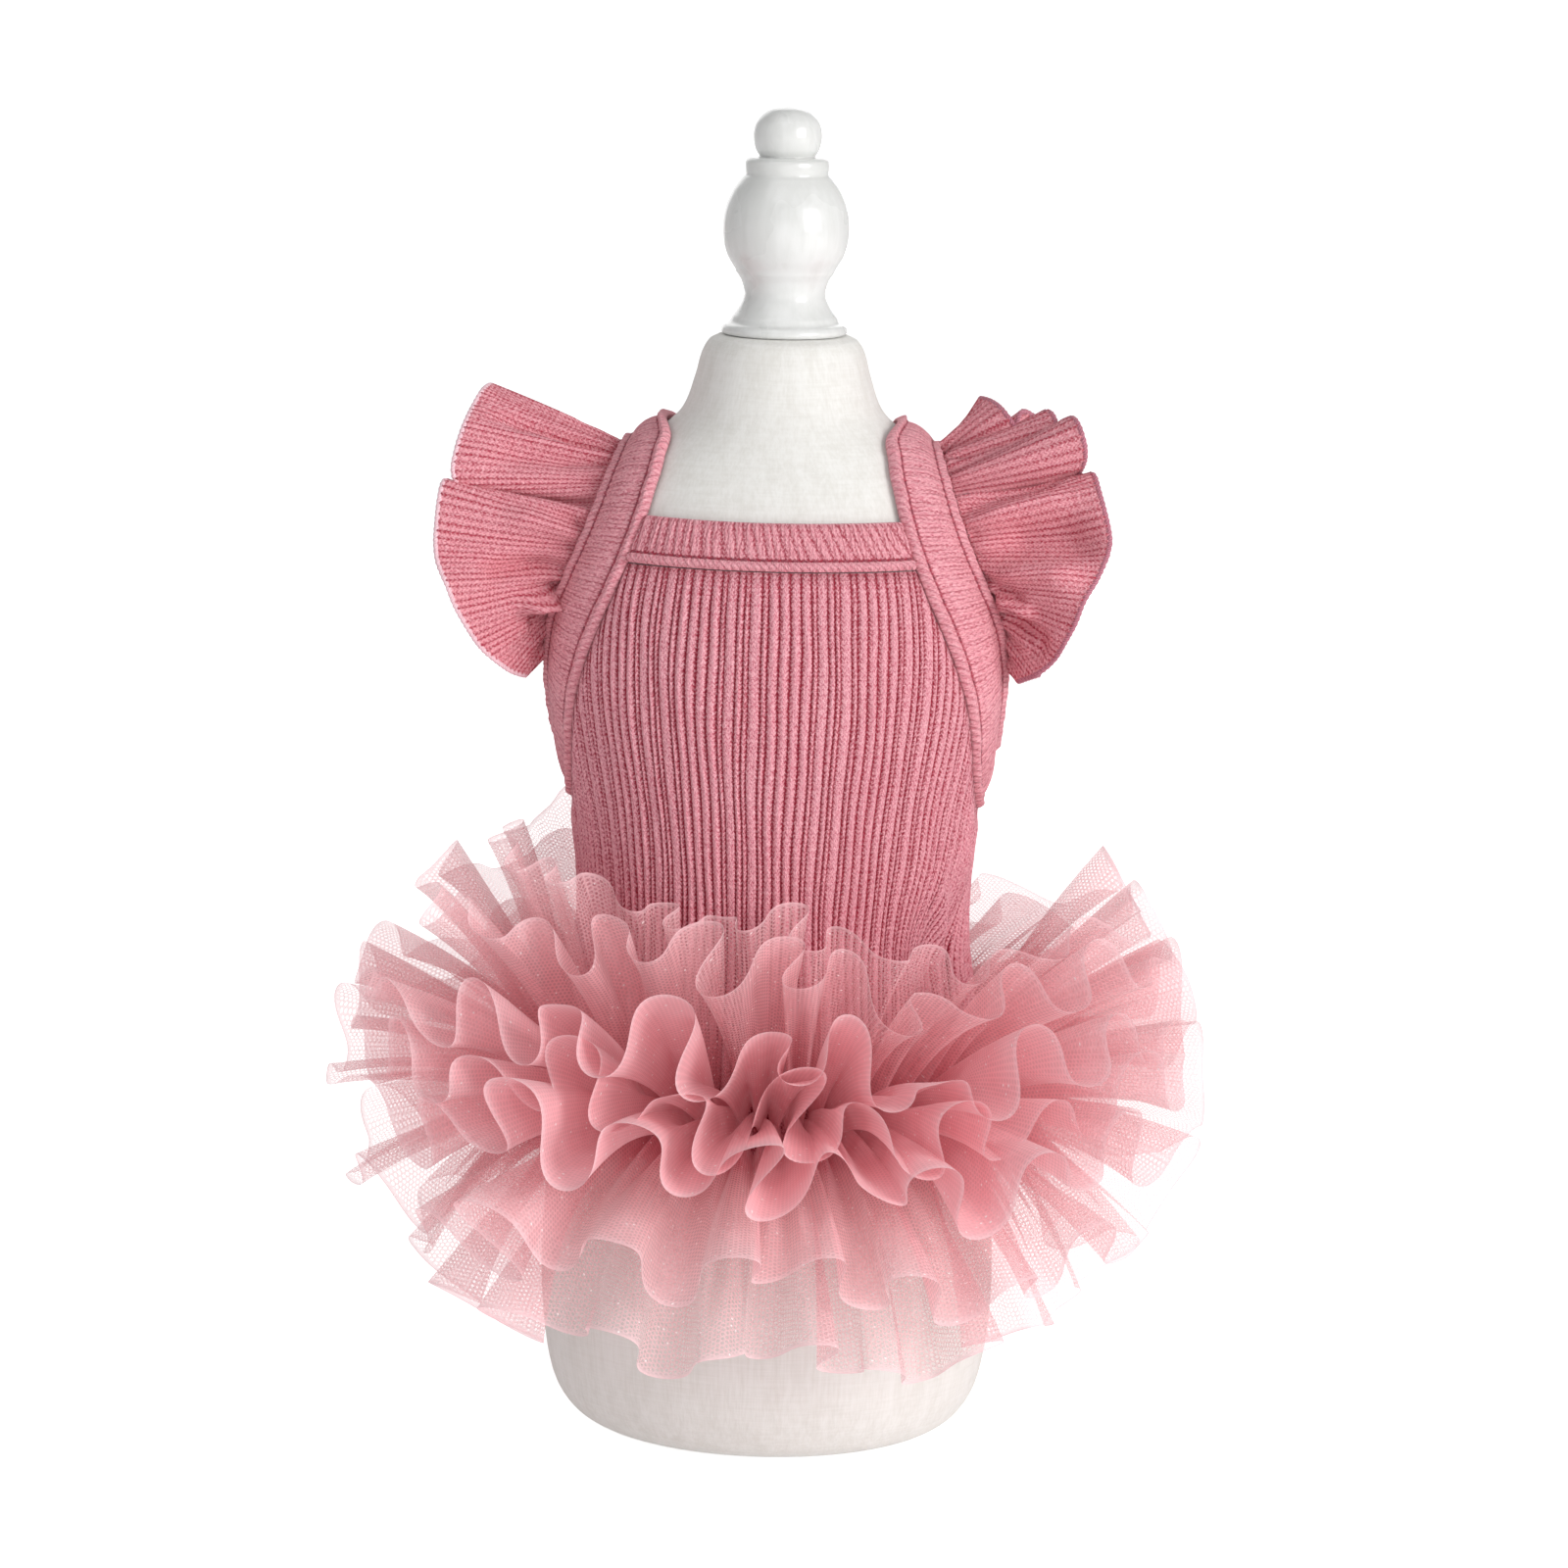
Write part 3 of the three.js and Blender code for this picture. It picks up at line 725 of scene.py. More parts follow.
@dataclass(frozen=True)
class KnitFinish:
    """Rose rib knit with heathered fibre, visible stitches and painted shade in the grooves between its ribs.

    Attributes:
        slub: Distance between the fine lines across the cloth's length in metres.
        lined: How far those lines darken the cloth, from 0 to 1.
        jags: How far the stitches and the fibre break up the edge of a groove.
        slope: Height on a rib where the painted shade of its groove ends and where its crest's colour is
            full.
        coiled: How far the turns of a rolled edge are darkened between them, as painted shade.
        relief: Heights of the fibre and of the lines and turns, where a stitch has 1.
    """

    name: str
    light: tuple
    deep: tuple
    groove_shade: tuple
    wale: float = 0.00115
    course: float = 0.0012
    slub: float = 0.00115
    lined: float = 0.0
    jags: tuple = (0.27, 0.34)
    slope: tuple = (0.02, 0.85)
    drift: float = 0.2
    coiled: float = 0.24
    relief: tuple = (0.45, -1.4)

    def make(self, effects: Effects) -> bpy.types.Material:
        """Build the material: heather on the crests, painted shade in the serrated grooves and between the
        turns of a rolled edge, stitches and twist in the bump.

        Args:
            effects: The shared shader groups.

        Returns:
            The material.
        """
        material, s, principled = new_material(self.name)
        vector, crest, cord = s.cloth(), s.mark("crest"), s.mark("cord")
        heather = effects.place(s, effects.heather, Vector=vector)
        stitch = effects.place(s, effects.knit, Vector=vector, Wale=self.wale, Course=self.course)
        lines = effects.place(s, effects.slub, Vector=vector, Pitch=self.slub)
        fleck, legs = heather.outputs["Fibre"], stitch.outputs["Stitch"]
        jagged = s.maths("MULTIPLY_ADD", s.maths("SUBTRACT", legs, 0.5), self.jags[0], crest)
        jagged = s.maths("MULTIPLY_ADD", s.maths("SUBTRACT", fleck, 0.5), self.jags[1], jagged)
        fibre = s.maths("MULTIPLY_ADD", legs, 0.25, s.maths("MULTIPLY", fleck, 0.75))
        yarn = s.blend(fibre, self.deep, self.light)
        toned = s.blend(s.maths("MULTIPLY", heather.outputs["Drift"], self.drift), yarn, self.light)
        # Painted shade: where the crest mark is low, between the ribs and in seam grooves, the groove colour
        # darkens the yarn.
        ribbed = s.blend(s.between(jagged, *self.slope), self.groove_shade, toned)
        twist = s.maths("MULTIPLY", cord, lines.outputs["Twist"])
        plain = s.maths("SUBTRACT", 1.0, cord)
        line = s.maths("MULTIPLY", s.maths("MULTIPLY", lines.outputs["Line"], plain), self.lined)
        # Painted shade between the turns of a rolled edge, added to the knit's own fine lines.
        shade = s.maths("MULTIPLY_ADD", twist, self.coiled, line, clamp=True)
        height = s.maths("MULTIPLY_ADD", fleck, self.relief[0], stitch.outputs["Height"])
        height = s.maths("MULTIPLY_ADD", s.maths("ADD", twist, line), self.relief[1], height)
        s.finish(
            principled,
            Base_Color=s.blend(shade, ribbed, self.groove_shade),
            Roughness=s.maths("MULTIPLY_ADD", fleck, 0.1, 0.82),
            Normal=s.bump(height, 0.7, 0.0003),
            Sheen_Weight=0.12,
            Sheen_Roughness=0.45,
            Specular_IOR_Level=0.2,
        )
        return material


@dataclass(frozen=True)
class ThreadFinish:
    """Spun sewing thread with a fine twist."""

    name: str
    light: tuple
    dark: tuple
    twist: float = 0.0007
    slant: float = 0.6

    def make(self, effects: Effects) -> bpy.types.Material:
        """Build the material: slanting bands of the twist in colour and bump.

        Args:
            effects: The shared shader groups.

        Returns:
            The material.
        """
        material, s, principled = new_material(self.name)
        cloth = s.cloth()
        parts = s.node("SeparateXYZ", Vector=cloth)
        place = s.maths("ADD", parts.outputs[0], s.maths("MULTIPLY", parts.outputs[1], self.slant))
        ply = s.maths("MULTIPLY_ADD", s.sine(place, TURN / self.twist), 0.5, 0.5)
        heather = effects.place(s, effects.heather, Vector=cloth)
        tone = s.maths("MULTIPLY_ADD", heather.outputs["Fibre"], 0.35, s.maths("MULTIPLY", ply, 0.65))
        s.finish(
            principled,
            Base_Color=s.blend(tone, self.dark, self.light),
            Roughness=s.maths("MULTIPLY_ADD", ply, -0.15, 0.7),
            Normal=s.bump(ply, 0.5, 0.00015),
            Sheen_Weight=0.2,
        )
        return material


@dataclass(frozen=True)
class TulleFinish:
    """Sheer net of fine thread with specks of glitter, painted shade towards its seam and a faint painted
    glow.

    Attributes:
        sheer: Cover of the open net, from 0 to 1.
        mesh: Share of what is left open that the threads cover.
        hem: How far the cut edge takes its own colour, and its cover.
        glow: Painted glow of the net's own colours, standing in for light that comes through from the plies
            behind.
        sparkle: Glitter cells in a metre, the share of them left plain, and a speck's cover.
        drift: How far the slow drift of tone goes towards the edge's colour.
    """

    name: str
    thread: tuple
    full: tuple
    shade: tuple
    edge: tuple
    speck: tuple = rgb(255, 248, 248)
    cell: float = 0.0012
    sheer: float = 0.1
    packed: float = 0.94
    mesh: float = 0.44
    hem: tuple = (0.9, 0.75)
    glow: float = 0.085
    sparkle: tuple = (650.0, 0.82, 0.9)
    drift: float = 0.3

    def make(self, effects: Effects) -> bpy.types.Material:
        """Build the material: net and gathers in the alpha, glitter in colour and roughness, painted shade
        towards the seam, and a painted glow.

        Args:
            effects: The shared shader groups.

        Returns:
            The material.
        """
        material, s, principled = new_material(self.name)
        vector, crowd, rim, root = s.cloth(), s.mark("crowd"), s.mark("rim"), s.mark("root")
        scale, rarity, shine = self.sparkle
        thread = effects.place(s, effects.net, Vector=vector, Cell=self.cell).outputs["Thread"]
        speck = effects.place(s, effects.glitter, Vector=vector, Scale=scale, Rarity=rarity).outputs["Speck"]
        drift = s.between(s.noise(vector, 70.0, 3.0), 0.3, 0.7)
        # Painted shade: the colour darkens towards the seam, where the root mark is high.
        tone = s.blend(root, s.blend(crowd, self.thread, self.full), self.shade)
        varied = s.blend(s.maths("MULTIPLY", drift, self.drift), tone, self.edge)
        edged = s.blend(s.maths("MULTIPLY", rim, self.hem[0]), varied, self.edge)
        ground = s.maths("MULTIPLY_ADD", crowd, self.packed - self.sheer, self.sheer)
        open_share = s.maths("MULTIPLY", s.maths("SUBTRACT", 1.0, ground), self.mesh)
        cover = s.maths("MULTIPLY_ADD", thread, open_share, ground)
        cover = s.maths("MAXIMUM", cover, s.maths("MULTIPLY", rim, self.hem[1]))
        s.finish(
            principled,
            Base_Color=s.blend(speck, edged, self.speck),
            # Painted glow: the net gives off a little light of its own colours.
            Emission_Color=edged,
            Emission_Strength=self.glow,
            Roughness=s.maths("MULTIPLY_ADD", speck, -0.5, 0.75),
            Alpha=s.maths("MAXIMUM", cover, s.maths("MULTIPLY", speck, shine)),
            Normal=s.bump(thread, 0.25, 0.0002),
            Sheen_Weight=0.3,
            Sheen_Roughness=0.4,
            Specular_IOR_Level=0.25,
        )
        return material


@dataclass(frozen=True)
class LinenFinish:
    """Off-white woven cover."""

    name: str
    light: tuple
    shade: tuple

    def make(self, effects: Effects) -> bpy.types.Material:
        """Build the material: upright yarns in colour and bump, in Object coordinates.

        Args:
            effects: The shared shader groups.

        Returns:
            The material.
        """
        material, s, principled = new_material(self.name)
        weave = effects.place(s, effects.linen, Vector=s.node("TexCoord").outputs["Object"])
        yarns = weave.outputs["Shade"]
        s.finish(
            principled,
            Base_Color=s.blend(yarns, self.shade, self.light),
            Roughness=s.maths("MULTIPLY_ADD", yarns, -0.08, 0.88),
            Normal=s.bump(weave.outputs["Height"], 0.35, 0.0003),
            Sheen_Weight=0.15,
            Specular_IOR_Level=0.25,
        )
        return material


@dataclass(frozen=True)
class LacquerFinish:
    """White gloss lacquer over turned wood."""

    name: str
    colour: tuple
    low: tuple

    def make(self, effects: Effects) -> bpy.types.Material:
        """Build the material: faint turning rings and grain under a clear coat.

        Args:
            effects: The shared shader groups, none of which it needs.

        Returns:
            The material.
        """
        material, s, principled = new_material(self.name)
        place = s.node("TexCoord").outputs["Object"]
        rings = s.noise(s.stretched(place, (0.05, 0.05, 1.0)), 900.0, 2.0)
        grain = s.noise(s.stretched(place, (1.0, 1.0, 0.12)), 420.0, 3.0, 0.6)
        uneven = s.noise(place, 38.0, 3.0, 0.55)
        worn = s.between(s.maths("MULTIPLY_ADD", grain, 0.4, s.maths("MULTIPLY", uneven, 0.6)), 0.38, 0.62)
        height = s.maths("MULTIPLY_ADD", rings, 0.5, s.maths("MULTIPLY", grain, 0.5))
        s.finish(
            principled,
            Base_Color=s.blend(worn, self.low, self.colour),
            Roughness=s.maths("MULTIPLY_ADD", uneven, 0.16, 0.2),
            Normal=s.bump(height, 0.12, 0.0004),
            Coat_Weight=0.6,
            Coat_Roughness=0.12,
        )
        return material


# ---------------------------------------------------------------- the dress form


@dataclass(frozen=True)
class FormShape:
    """The form's surface, which everything else is laid on.

    Attributes:
        sections: Height, half width and half depth of each section.
    """

    sections: Array = field(
        default_factory=lambda: np.array(
            [
                (0, 40, 31), (3, 49.5, 40.6), (8, 55.5, 46.8), (16, 59.3, 50.2), (30, 61.5, 52),
                (46, 62.2, 52.5), (75, 60.5, 51), (100, 56, 48.5), (125, 52, 46), (150, 50.3, 45),
                (175, 52.8, 46.5), (205, 59.3, 48), (220, 60.3, 47.2), (235, 58.8, 44.5), (250, 54.5, 40.5),
                (262, 48, 36), (270, 41, 32),
                (276, 33, 29), (282, 26.8, 26), (291, 23.4, 23), (297, 21.8, 21.2), (300.5, 19.8, 19.4),
                (301.7, 17.6, 17.2),
            ]
        )
    )
    step: float = 0.5

    def point(self, angle: Array, z: Array, lift: Array) -> Array:
        """Point on the form moved out along its normal.

        The section is the ellipse (w sin, -d cos). The normal is (d sin, -w cos, -(w d' cos^2 + d w' sin^2)),
        where w' and d' are the growth of w and d with height.

        Args:
            angle: Angle round the form in degrees.
            z: Height.
            lift: Distance out from the surface.

        Returns:
            Points with a last axis of 3.
        """
        angle, z, lift = np.broadcast_arrays(np.asarray(angle, float), z, lift)
        sin, cos = np.sin(np.radians(angle)), np.cos(np.radians(angle))
        width, depth = (smooth_value(self.sections, c, z) for c in (1, 2))
        above, below = (
            [smooth_value(self.sections, c, z + way * self.step) for c in (1, 2)] for way in (1, -1)
        )
        growth_w, growth_d = ((high - low) / (2 * self.step) for high, low in zip(above, below))
        slope = width * growth_d * cos**2 + depth * growth_w * sin**2
        normal = unit(np.stack([depth * sin, -width * cos, -slope], -1))
        return np.stack([width * sin, -depth * cos, z + 0.0], -1) + lift[..., None] * normal

    def outward(self, angle: Array, z: Array) -> Array:
        """Unit normal of the form at an angle and a height."""
        return unit(self.point(angle, z, 1.0) - self.point(angle, z, 0.0))


@dataclass
class DressForm:
    """The linen-covered torso block with its turned finial.

    Attributes:
        floor_rings: Sizes of the rings that close the underside, as shares of the lowest section.
        crown_rings: Size of each ring that closes the top, as a share of the highest section, and its rise.
    """

    shape: FormShape
    columns: int = 144
    steps: int = 5
    floor_rings: tuple = (0.0, 0.35, 0.7, 0.9)
    crown_rings: tuple = ((0.97, 0.12), (0.8, 0.18), (0.4, 0.2), (0.0, 0.2))
    finial_sides: int = 64
    finial_step: float = 0.45
    # Height, radius and whether the profile has a corner there.
    finial: tuple = (
        (302.0, 0.0, 1), (302.0, 16.0, 1), (302.6, 16.7, 0), (303.6, 16.75, 0), (304.6, 16.1, 1),
        (305.3, 14.6, 0), (306.6, 14.0, 1), (309.0, 12.2, 0), (312.4, 10.8, 0), (316.0, 11.5, 0),
        (318.4, 13.0, 1), (319.2, 13.3, 0), (322.5, 15.25, 0), (326.5, 16.5, 0), (331.0, 16.8, 0),
        (336.0, 15.9, 0), (340.5, 13.9, 0), (343.6, 11.6, 1), (344.2, 11.0, 0), (346.0, 11.15, 0),
        (347.8, 11.0, 0), (348.7, 9.9, 1), (348.9, 7.3, 1), (351.0, 8.5, 0), (354.6, 9.1, 0), (358.2, 8.1, 0),
        (361.0, 5.0, 0), (362.1, 0.0, 1),
    )

    def body(self) -> bpy.types.Object:
        """Lay rings of the form's surface and close both ends with rings that shrink to a point."""
        heights = self.shape.sections[:, 0]
        parts = [np.linspace(a, b, self.steps, endpoint=False) for a, b in zip(heights[:-1], heights[1:])]
        z = np.concatenate(parts + [heights[-1:]])
        angle = np.linspace(0, 360, self.columns, endpoint=False)
        rings = self.shape.point(angle[None, :], z[:, None], 0.0)
        floor = np.concatenate([rings[0][None] * [s, s, 1] for s in self.floor_rings])
        crown = np.concatenate([rings[-1][None] * [s, s, 1] + [0, 0, rise] for s, rise in self.crown_rings])
        grid = np.concatenate([floor, rings, crown])
        piece = put_mesh("linen_body", grid.reshape(-1, 3), grid_quads(len(grid), self.columns, True))
        merge_poles(piece)
        return piece

    def knob(self) -> bpy.types.Object:
        """Turn the finial's profile, a smooth curve between its corners, round the axis."""
        rows = np.array(self.finial)
        corners = np.flatnonzero(rows[:, 2] > 0)
        profile = [rows[:1, :2]]
        for a, b in zip(corners[:-1], corners[1:]):
            run = rows[a : b + 1, :2]
            along = lengths_along(run)
            count = max(2, int(along[-1] / self.finial_step))
            places = np.linspace(0, along[-1], count + 1)[1:]
            if len(run) == 2:
                profile.append(run[0] + (run[1] - run[0]) * (places / along[-1])[:, None])
            else:
                table = np.column_stack([along, run])
                profile.append(np.column_stack([smooth_value(table, column, places) for column in (1, 2)]))
        outline = np.concatenate(profile)
        turn = np.linspace(0, TURN, self.finial_sides, endpoint=False)
        z, radius = outline[:, :1], outline[:, 1:]
        grid = np.stack([radius * np.sin(turn), -radius * np.cos(turn), z + 0 * turn], -1)
        piece = put_mesh("turned_finial", grid.reshape(-1, 3), grid_quads(len(grid), self.finial_sides, True))
        merge_poles(piece)
        return piece


def merge_poles(piece: bpy.types.Object, near: float = 1e-6, flat: float = 1e-7) -> None:
    """Weld a turned shape's poles into single points and drop the faces that vanish.

    Args:
        piece: The turned shape.
        near: Distance in metres below which points are one.
        flat: Length in metres below which an edge vanishes.
    """
    work = bmesh.new()
    work.from_mesh(piece.data)
    bmesh.ops.remove_doubles(work, verts=work.verts, dist=near)
    bmesh.ops.dissolve_degenerate(work, dist=flat, edges=work.edges)
    work.to_mesh(piece.data)
    work.free()
    piece.data.polygons.foreach_set("use_smooth", np.ones(len(piece.data.polygons), bool))


# ---------------------------------------------------------------- bindings


class Face(Enum):
    """The two faces of the dress, by the angle of their middle."""

    FRONT = 0
    BACK = 180


class Side(Enum):
    """The two sides of the dress, by the sign of X."""

    LEFT = 1
    RIGHT = -1


@dataclass(frozen=True)
class Seams:
    """Sizes that the sewn pieces share.

    Attributes:
        gap_angle: From the armhole binding to its neighbours, as an angle.
        gap_height: The same, as a height.
    """

    lift: float = 1.0
    thickness: float = 1.2
    rib: float = 0.8
    neckline: tuple = (256.0, 260.0)
    band: float = 12.0
    gap_angle: float = 0.5
    gap_height: float = 0.4

    def top(self, face: Face) -> float:
        """Height of the neckline on a face."""
        return self.neckline[0] if face is Face.FRONT else self.neckline[1]


@dataclass
class ArmholeBinding:
    """The closed strip round an armhole, which is the shoulder strap too.

    Attributes:
        lean: How far a rib leans from edge to edge, in ribs.
        flat: Share of the way across where the ribbed band begins and ends, and how softly.
        rolls: The same for the space between the two rolled edges.
        cords: Height of the turns on a rolled edge, and how many of them a rib leans across.
        grooves: Share of the way across and half width of each groove, where the strip is painted with shade.
        crowding: How far the rows crowd towards both edges, from 0 to 1.
        thread_rows: Share of the way across and height of each row of stitches.
    """

    shape: FormShape
    seams: Seams
    rib_pitch: float = 2.3
    rib_height: float = 0.2
    lean: float = 0.25
    flat: tuple = (0.14, 0.84, 0.05)
    rolls: tuple = (0.12, 0.85, 0.03)
    cords: tuple = (0.12, 2.2)
    grooves: tuple = ((0.165, 0.02), (0.815, 0.018))
    width: float = 15.0
    crowding: float = 0.35
    columns: int = 600
    rows: int = 27
    thread_rows: tuple = ((0.165, 1.75), (0.815, 1.8))
    threads: int = 86
    thread: tuple = (1.75, 0.26)
    # Angle and height of the edge towards the neck, then of the edge round the arm, from the underarm up.
    edges: tuple = (
        (90, 175.5, 90, 195), (80, 178.5, 84.5, 197.5), (70, 187.5, 80.5, 204.5), (60, 203.5, 78.5, 214.5),
        (50, 222, 74.5, 226.5), (43, 237, 67.5, 238), (39.5, 250, 63.5, 248.5), (40, 261, 64.5, 258),
        (45, 270, 70, 265), (60, 276.5, 79, 269), (90, 278.5, 90, 270.5),
    )
    # Share of the way across and thickness there: a rolled edge on each side of a slightly crowned band.
    profile: tuple = (
        (0.0, 1.1), (0.02, 2.0), (0.075, 2.85), (0.13, 2.15), (0.165, 1.4), (0.21, 1.95), (0.34, 2.6),
        (0.5, 2.85), (0.66, 2.6), (0.775, 2.0), (0.815, 1.45), (0.855, 2.3), (0.915, 3.1), (0.975, 2.3),
        (1.0, 1.2),
    )
    # Count round the strip, size and slant of the ribs' wandering.
    wander: tuple = ((23, 0.12, 5), (7, 0.2, 0))
    # Count, size and angle of the rolled edges' puckers.
    puckers: tuple = ((31, 0.12, 1.3),)

    def edge(self, first: int) -> ClosedCurve:
        """The closed curve of one edge, front and mirrored back, as angles and heights."""
        front = np.array(self.edges, float)[:, first : first + 2]
        back = front[1:-1][::-1] * [-1, 1] + [180, 0]
        return ClosedCurve(np.concatenate([front, back]))

    def neck_edge(self) -> ClosedCurve:
        """The edge towards the neck."""
        return self.edge(0)

    def arm_edge(self) -> ClosedCurve:
        """The edge round the arm."""
        return self.edge(2)

    def neck_table(self, divisions: int = 400, used: int = 144) -> Array:
        """Angles and heights of the neck edge from the underarm up to the neckline."""
        return self.neck_edge().at(np.arange(used) / divisions)

    def neck_height(self, angle: Array) -> Array:
        """Height of the neck edge at an angle between the neckline and the side seam."""
        table = self.neck_table()
        rising = table[: int(np.argmin(table[:, 0])) + 1][::-1]
        return np.interp(angle, rising[:, 0], rising[:, 1], left=table[-1, 1])

    def neck_angle(self, z: Array) -> Array:
        """Angle of the neck edge at a height above the underarm."""
        table = self.neck_table()
        return np.interp(z, table[:, 1], table[:, 0])

    def surface(self, share: Array, across: Array, lift: Array) -> Array:
        """Point over the form at a share of the way round and across the strip."""
        a, b = self.neck_edge().at(share), self.arm_edge().at(share)
        chart = a + (b - a) * across[..., None]
        return self.shape.point(chart[..., 0], chart[..., 1], lift)

    def build(self, side: Side) -> bpy.types.Object:
        """Make the strip: the profile carried round the armhole, with ribs between the rolled edges.

        The height is the profile, smoothed over three columns, plus the ribs on the band and the turns and
        puckers on the rolled edges.

        Args:
            side: Which armhole.

        Returns:
            The strip.
        """
        share = np.arange(self.columns) / self.columns
        even = np.linspace(0, 1, self.rows)
        across = self.crowding * (0.5 - 0.5 * np.cos(np.pi * even)) + (1 - self.crowding) * even
        s, t = np.meshgrid(share, across)
        middle = self.surface(share, np.full_like(share, 0.5), np.full_like(share, 2.0))
        along = lengths_along(np.vstack([middle, middle[:1]]))
        ribs = round(along[-1] / self.rib_pitch)
        wander = waves([(count, size, slant * t) for count, size, slant in self.wander], s)
        phase = ribs * along[:-1] / along[-1] + wander + self.lean * (t - 0.5)
        crest = beat(phase)
        flat, rolled = window(t, *self.flat), 1 - window(t, *self.rolls)
        cord_height, cord_lean = self.cords
        twist = beat(phase + cord_lean * t)
        table = np.array(self.profile, float)
        height = np.interp(t, table[:, 0], table[:, 1])
        height = 0.25 * np.roll(height, 1, 0) + 0.5 * height + 0.25 * np.roll(height, -1, 0)
        height[0], height[-1] = table[0, 1], table[-1, 1]
        relief = self.rib_height * (crest - 0.5) * flat + cord_height * (twist - 0.5) * rolled
        lift = self.seams.lift + height + relief + waves(self.puckers, s) * (1 - flat)
        groove_shade = np.clip(sum(bell(t, at, half) for at, half in self.grooves), 0, 1)
        # Painted shade: the crest mark falls between the ribs, between the turns of the rolled edges and in
        # the seam grooves, where the material lays on the groove colour.
        tone = np.clip((0.62 + 0.38 * crest) * flat + rolled * (0.75 + 0.25 * twist), 0, 1) * (1 - groove_shade)
        mirror = np.array([side.value, 1, 1])
        lifts = (lift, np.full_like(lift, self.seams.lift))
        outer, inner = (self.surface(s, t, height) * mirror for height in lifts)
        u = np.broadcast_to(along, (self.rows, self.columns + 1))
        v = np.broadcast_to((self.width * across)[:, None], u.shape)
        # The strip faces out with its rows from arm to neck at the left, and from neck to arm at the right.
        order = slice(None, None, -side.value)
        marks = {"crest": tone[order], "cord": rolled[order]}
        name = f"armhole_strip_{side.name.lower()}"
        return cloth_shell(name, outer[order], inner[order], True, u, v[order], marks)

    def topstitch(self, side: Side) -> bpy.types.Object:
        """Lay a row of stitches in the groove beside each rolled edge."""
        share = np.arange(self.threads) / self.threads
        lift = self.seams.lift
        rows = [stitch_row(self.surface, share, at, lift + up, 0.002) for at, up in self.thread_rows]
        middles, ways, outs = (np.concatenate(group) * [side.value, 1, 1] for group in zip(*rows))
        return stitches(f"armhole_topstitch_{side.name.lower()}", middles, ways, outs, *self.thread)


@dataclass
class NeckBand:
    """The neckline's binding between the two armhole bindings.

    Attributes:
        flat: Share of the height where the ribbed band begins, and how softly it does and ends at the top.
        roll: Share of the height where the rolled edge ends, and how softly.
        cords: Length and height of the turns on the rolled edge, and how far one leans.
        leans: How far the ribs lean at one end, and how much more at the other.
    """

    binding: ArmholeBinding
    face: Face
    rib_pitch: float = 2.6
    rib_height: float = 0.36
    flat: tuple = (0.22, 0.05, 0.04)
    roll: tuple = (0.18, 0.03)
    cords: tuple = (1.7, 0.14, 2)
    groove_shade: tuple = (0.215, 0.022)
    leans: tuple = (1.2, 3.6)
    columns: int = 300
    threads: int = 30
    thread: tuple = (0.217, 1.95, 1.8, 0.27)
    # Even rows from the lower edge to the upper, with more of them where the profile turns.
    even_rows: int = 25
    extra_rows: tuple = (0.02, 0.07, 0.13, 0.19, 0.235, 0.97, 0.985)
    # Share of the height from the lower edge, and thickness there.
    profile: tuple = (
        (0.0, 1.1), (0.03, 2.0), (0.1, 2.85), (0.17, 2.5), (0.215, 1.75), (0.26, 2.0), (0.5, 2.1),
        (0.88, 1.95), (0.96, 1.5), (1.0, 0.9),
    )

    def surface(self, along: Array, up: Array, lift: Array) -> Array:
        """Point over the form at a share of the band's length, from -1 to 1, and of its height."""
        seams = self.binding.seams
        z = seams.top(self.face) - seams.band * (1 - up)
        reach = self.binding.neck_angle(z) - seams.gap_angle
        return self.binding.shape.point(self.face.value + reach * along, z, lift)

    def build(self) -> bpy.types.Object:
        """Make the band: its profile carried along the neckline, with ribs that lean more towards one end."""
        seams = self.binding.seams
        along = np.linspace(-1, 1, self.columns)
        up = np.sort(np.concatenate([np.linspace(0, 1, self.even_rows), self.extra_rows]))
        s, t = np.meshgrid(along, up)
        middle = self.surface(along, np.full_like(along, 0.5), np.full_like(along, 2.0))
        length = lengths_along(middle)
        lean = self.leans[0] + self.leans[1] * smooth_step((s + 1) / 1.8)
        phase = (length - lean * (1 - t)) / self.rib_pitch + 0.18 * np.sin(9 * s) + 0.1 * np.sin(31 * s)
        pair = np.cos(np.pi * phase)
        crest = (1 - np.abs(pair) ** 5) * (0.82 + 0.18 * np.sign(pair))
        start, soft, top_soft = self.flat
        flat = smooth_step((t - start) / soft) * smooth_step((1.0 - t) / top_soft)
        rolled = 1 - smooth_step((t - self.roll[0]) / self.roll[1])
        cord_length, cord_height, cord_lean = self.cords
        twist = beat(length / cord_length + cord_lean * t)
        table = np.array(self.profile, float)
        height = np.interp(t, table[:, 0], table[:, 1])
        ripple = 0.16 * np.sin(length / 3.1) * rolled + 0.15 * np.sin(length / 8.3 + 1)
        relief = self.rib_height * (crest - 0.7) * flat + cord_height * (twist - 0.5) * rolled + ripple
        outer = self.surface(s, t, seams.lift + height + relief)
        inner = self.surface(s, t, np.full_like(height, seams.lift))
        # Painted shade: the crest mark falls between the ribs, between the turns of the rolled edge and in
        # the groove above it; the top row is lifted by 0.6.
        tone = (0.3 + 0.7 * crest) * flat + rolled * (0.75 + 0.25 * twist) + 0.6 * (t > 0.97)
        tone = np.clip(tone, 0, 1) * (1 - bell(t, *self.groove_shade))
        u, v = np.broadcast_to(length, s.shape), seams.band * t
        name = f"neck_strip_{self.face.name.lower()}"
        return cloth_shell(name, outer, inner, False, u, v, {"crest": tone, "cord": rolled})

    def topstitch(self) -> bpy.types.Object:
        """Lay a row of stitches in the groove above the rolled edge."""
        up, lift, length, radius = self.thread
        places = np.linspace(-0.97, 0.97, self.threads)
        row = stitch_row(self.surface, places, up, self.binding.seams.lift + lift, 0.01)
        return stitches(f"neck_topstitch_{self.face.name.lower()}", *row, length, radius)


# ---------------------------------------------------------------- bodice


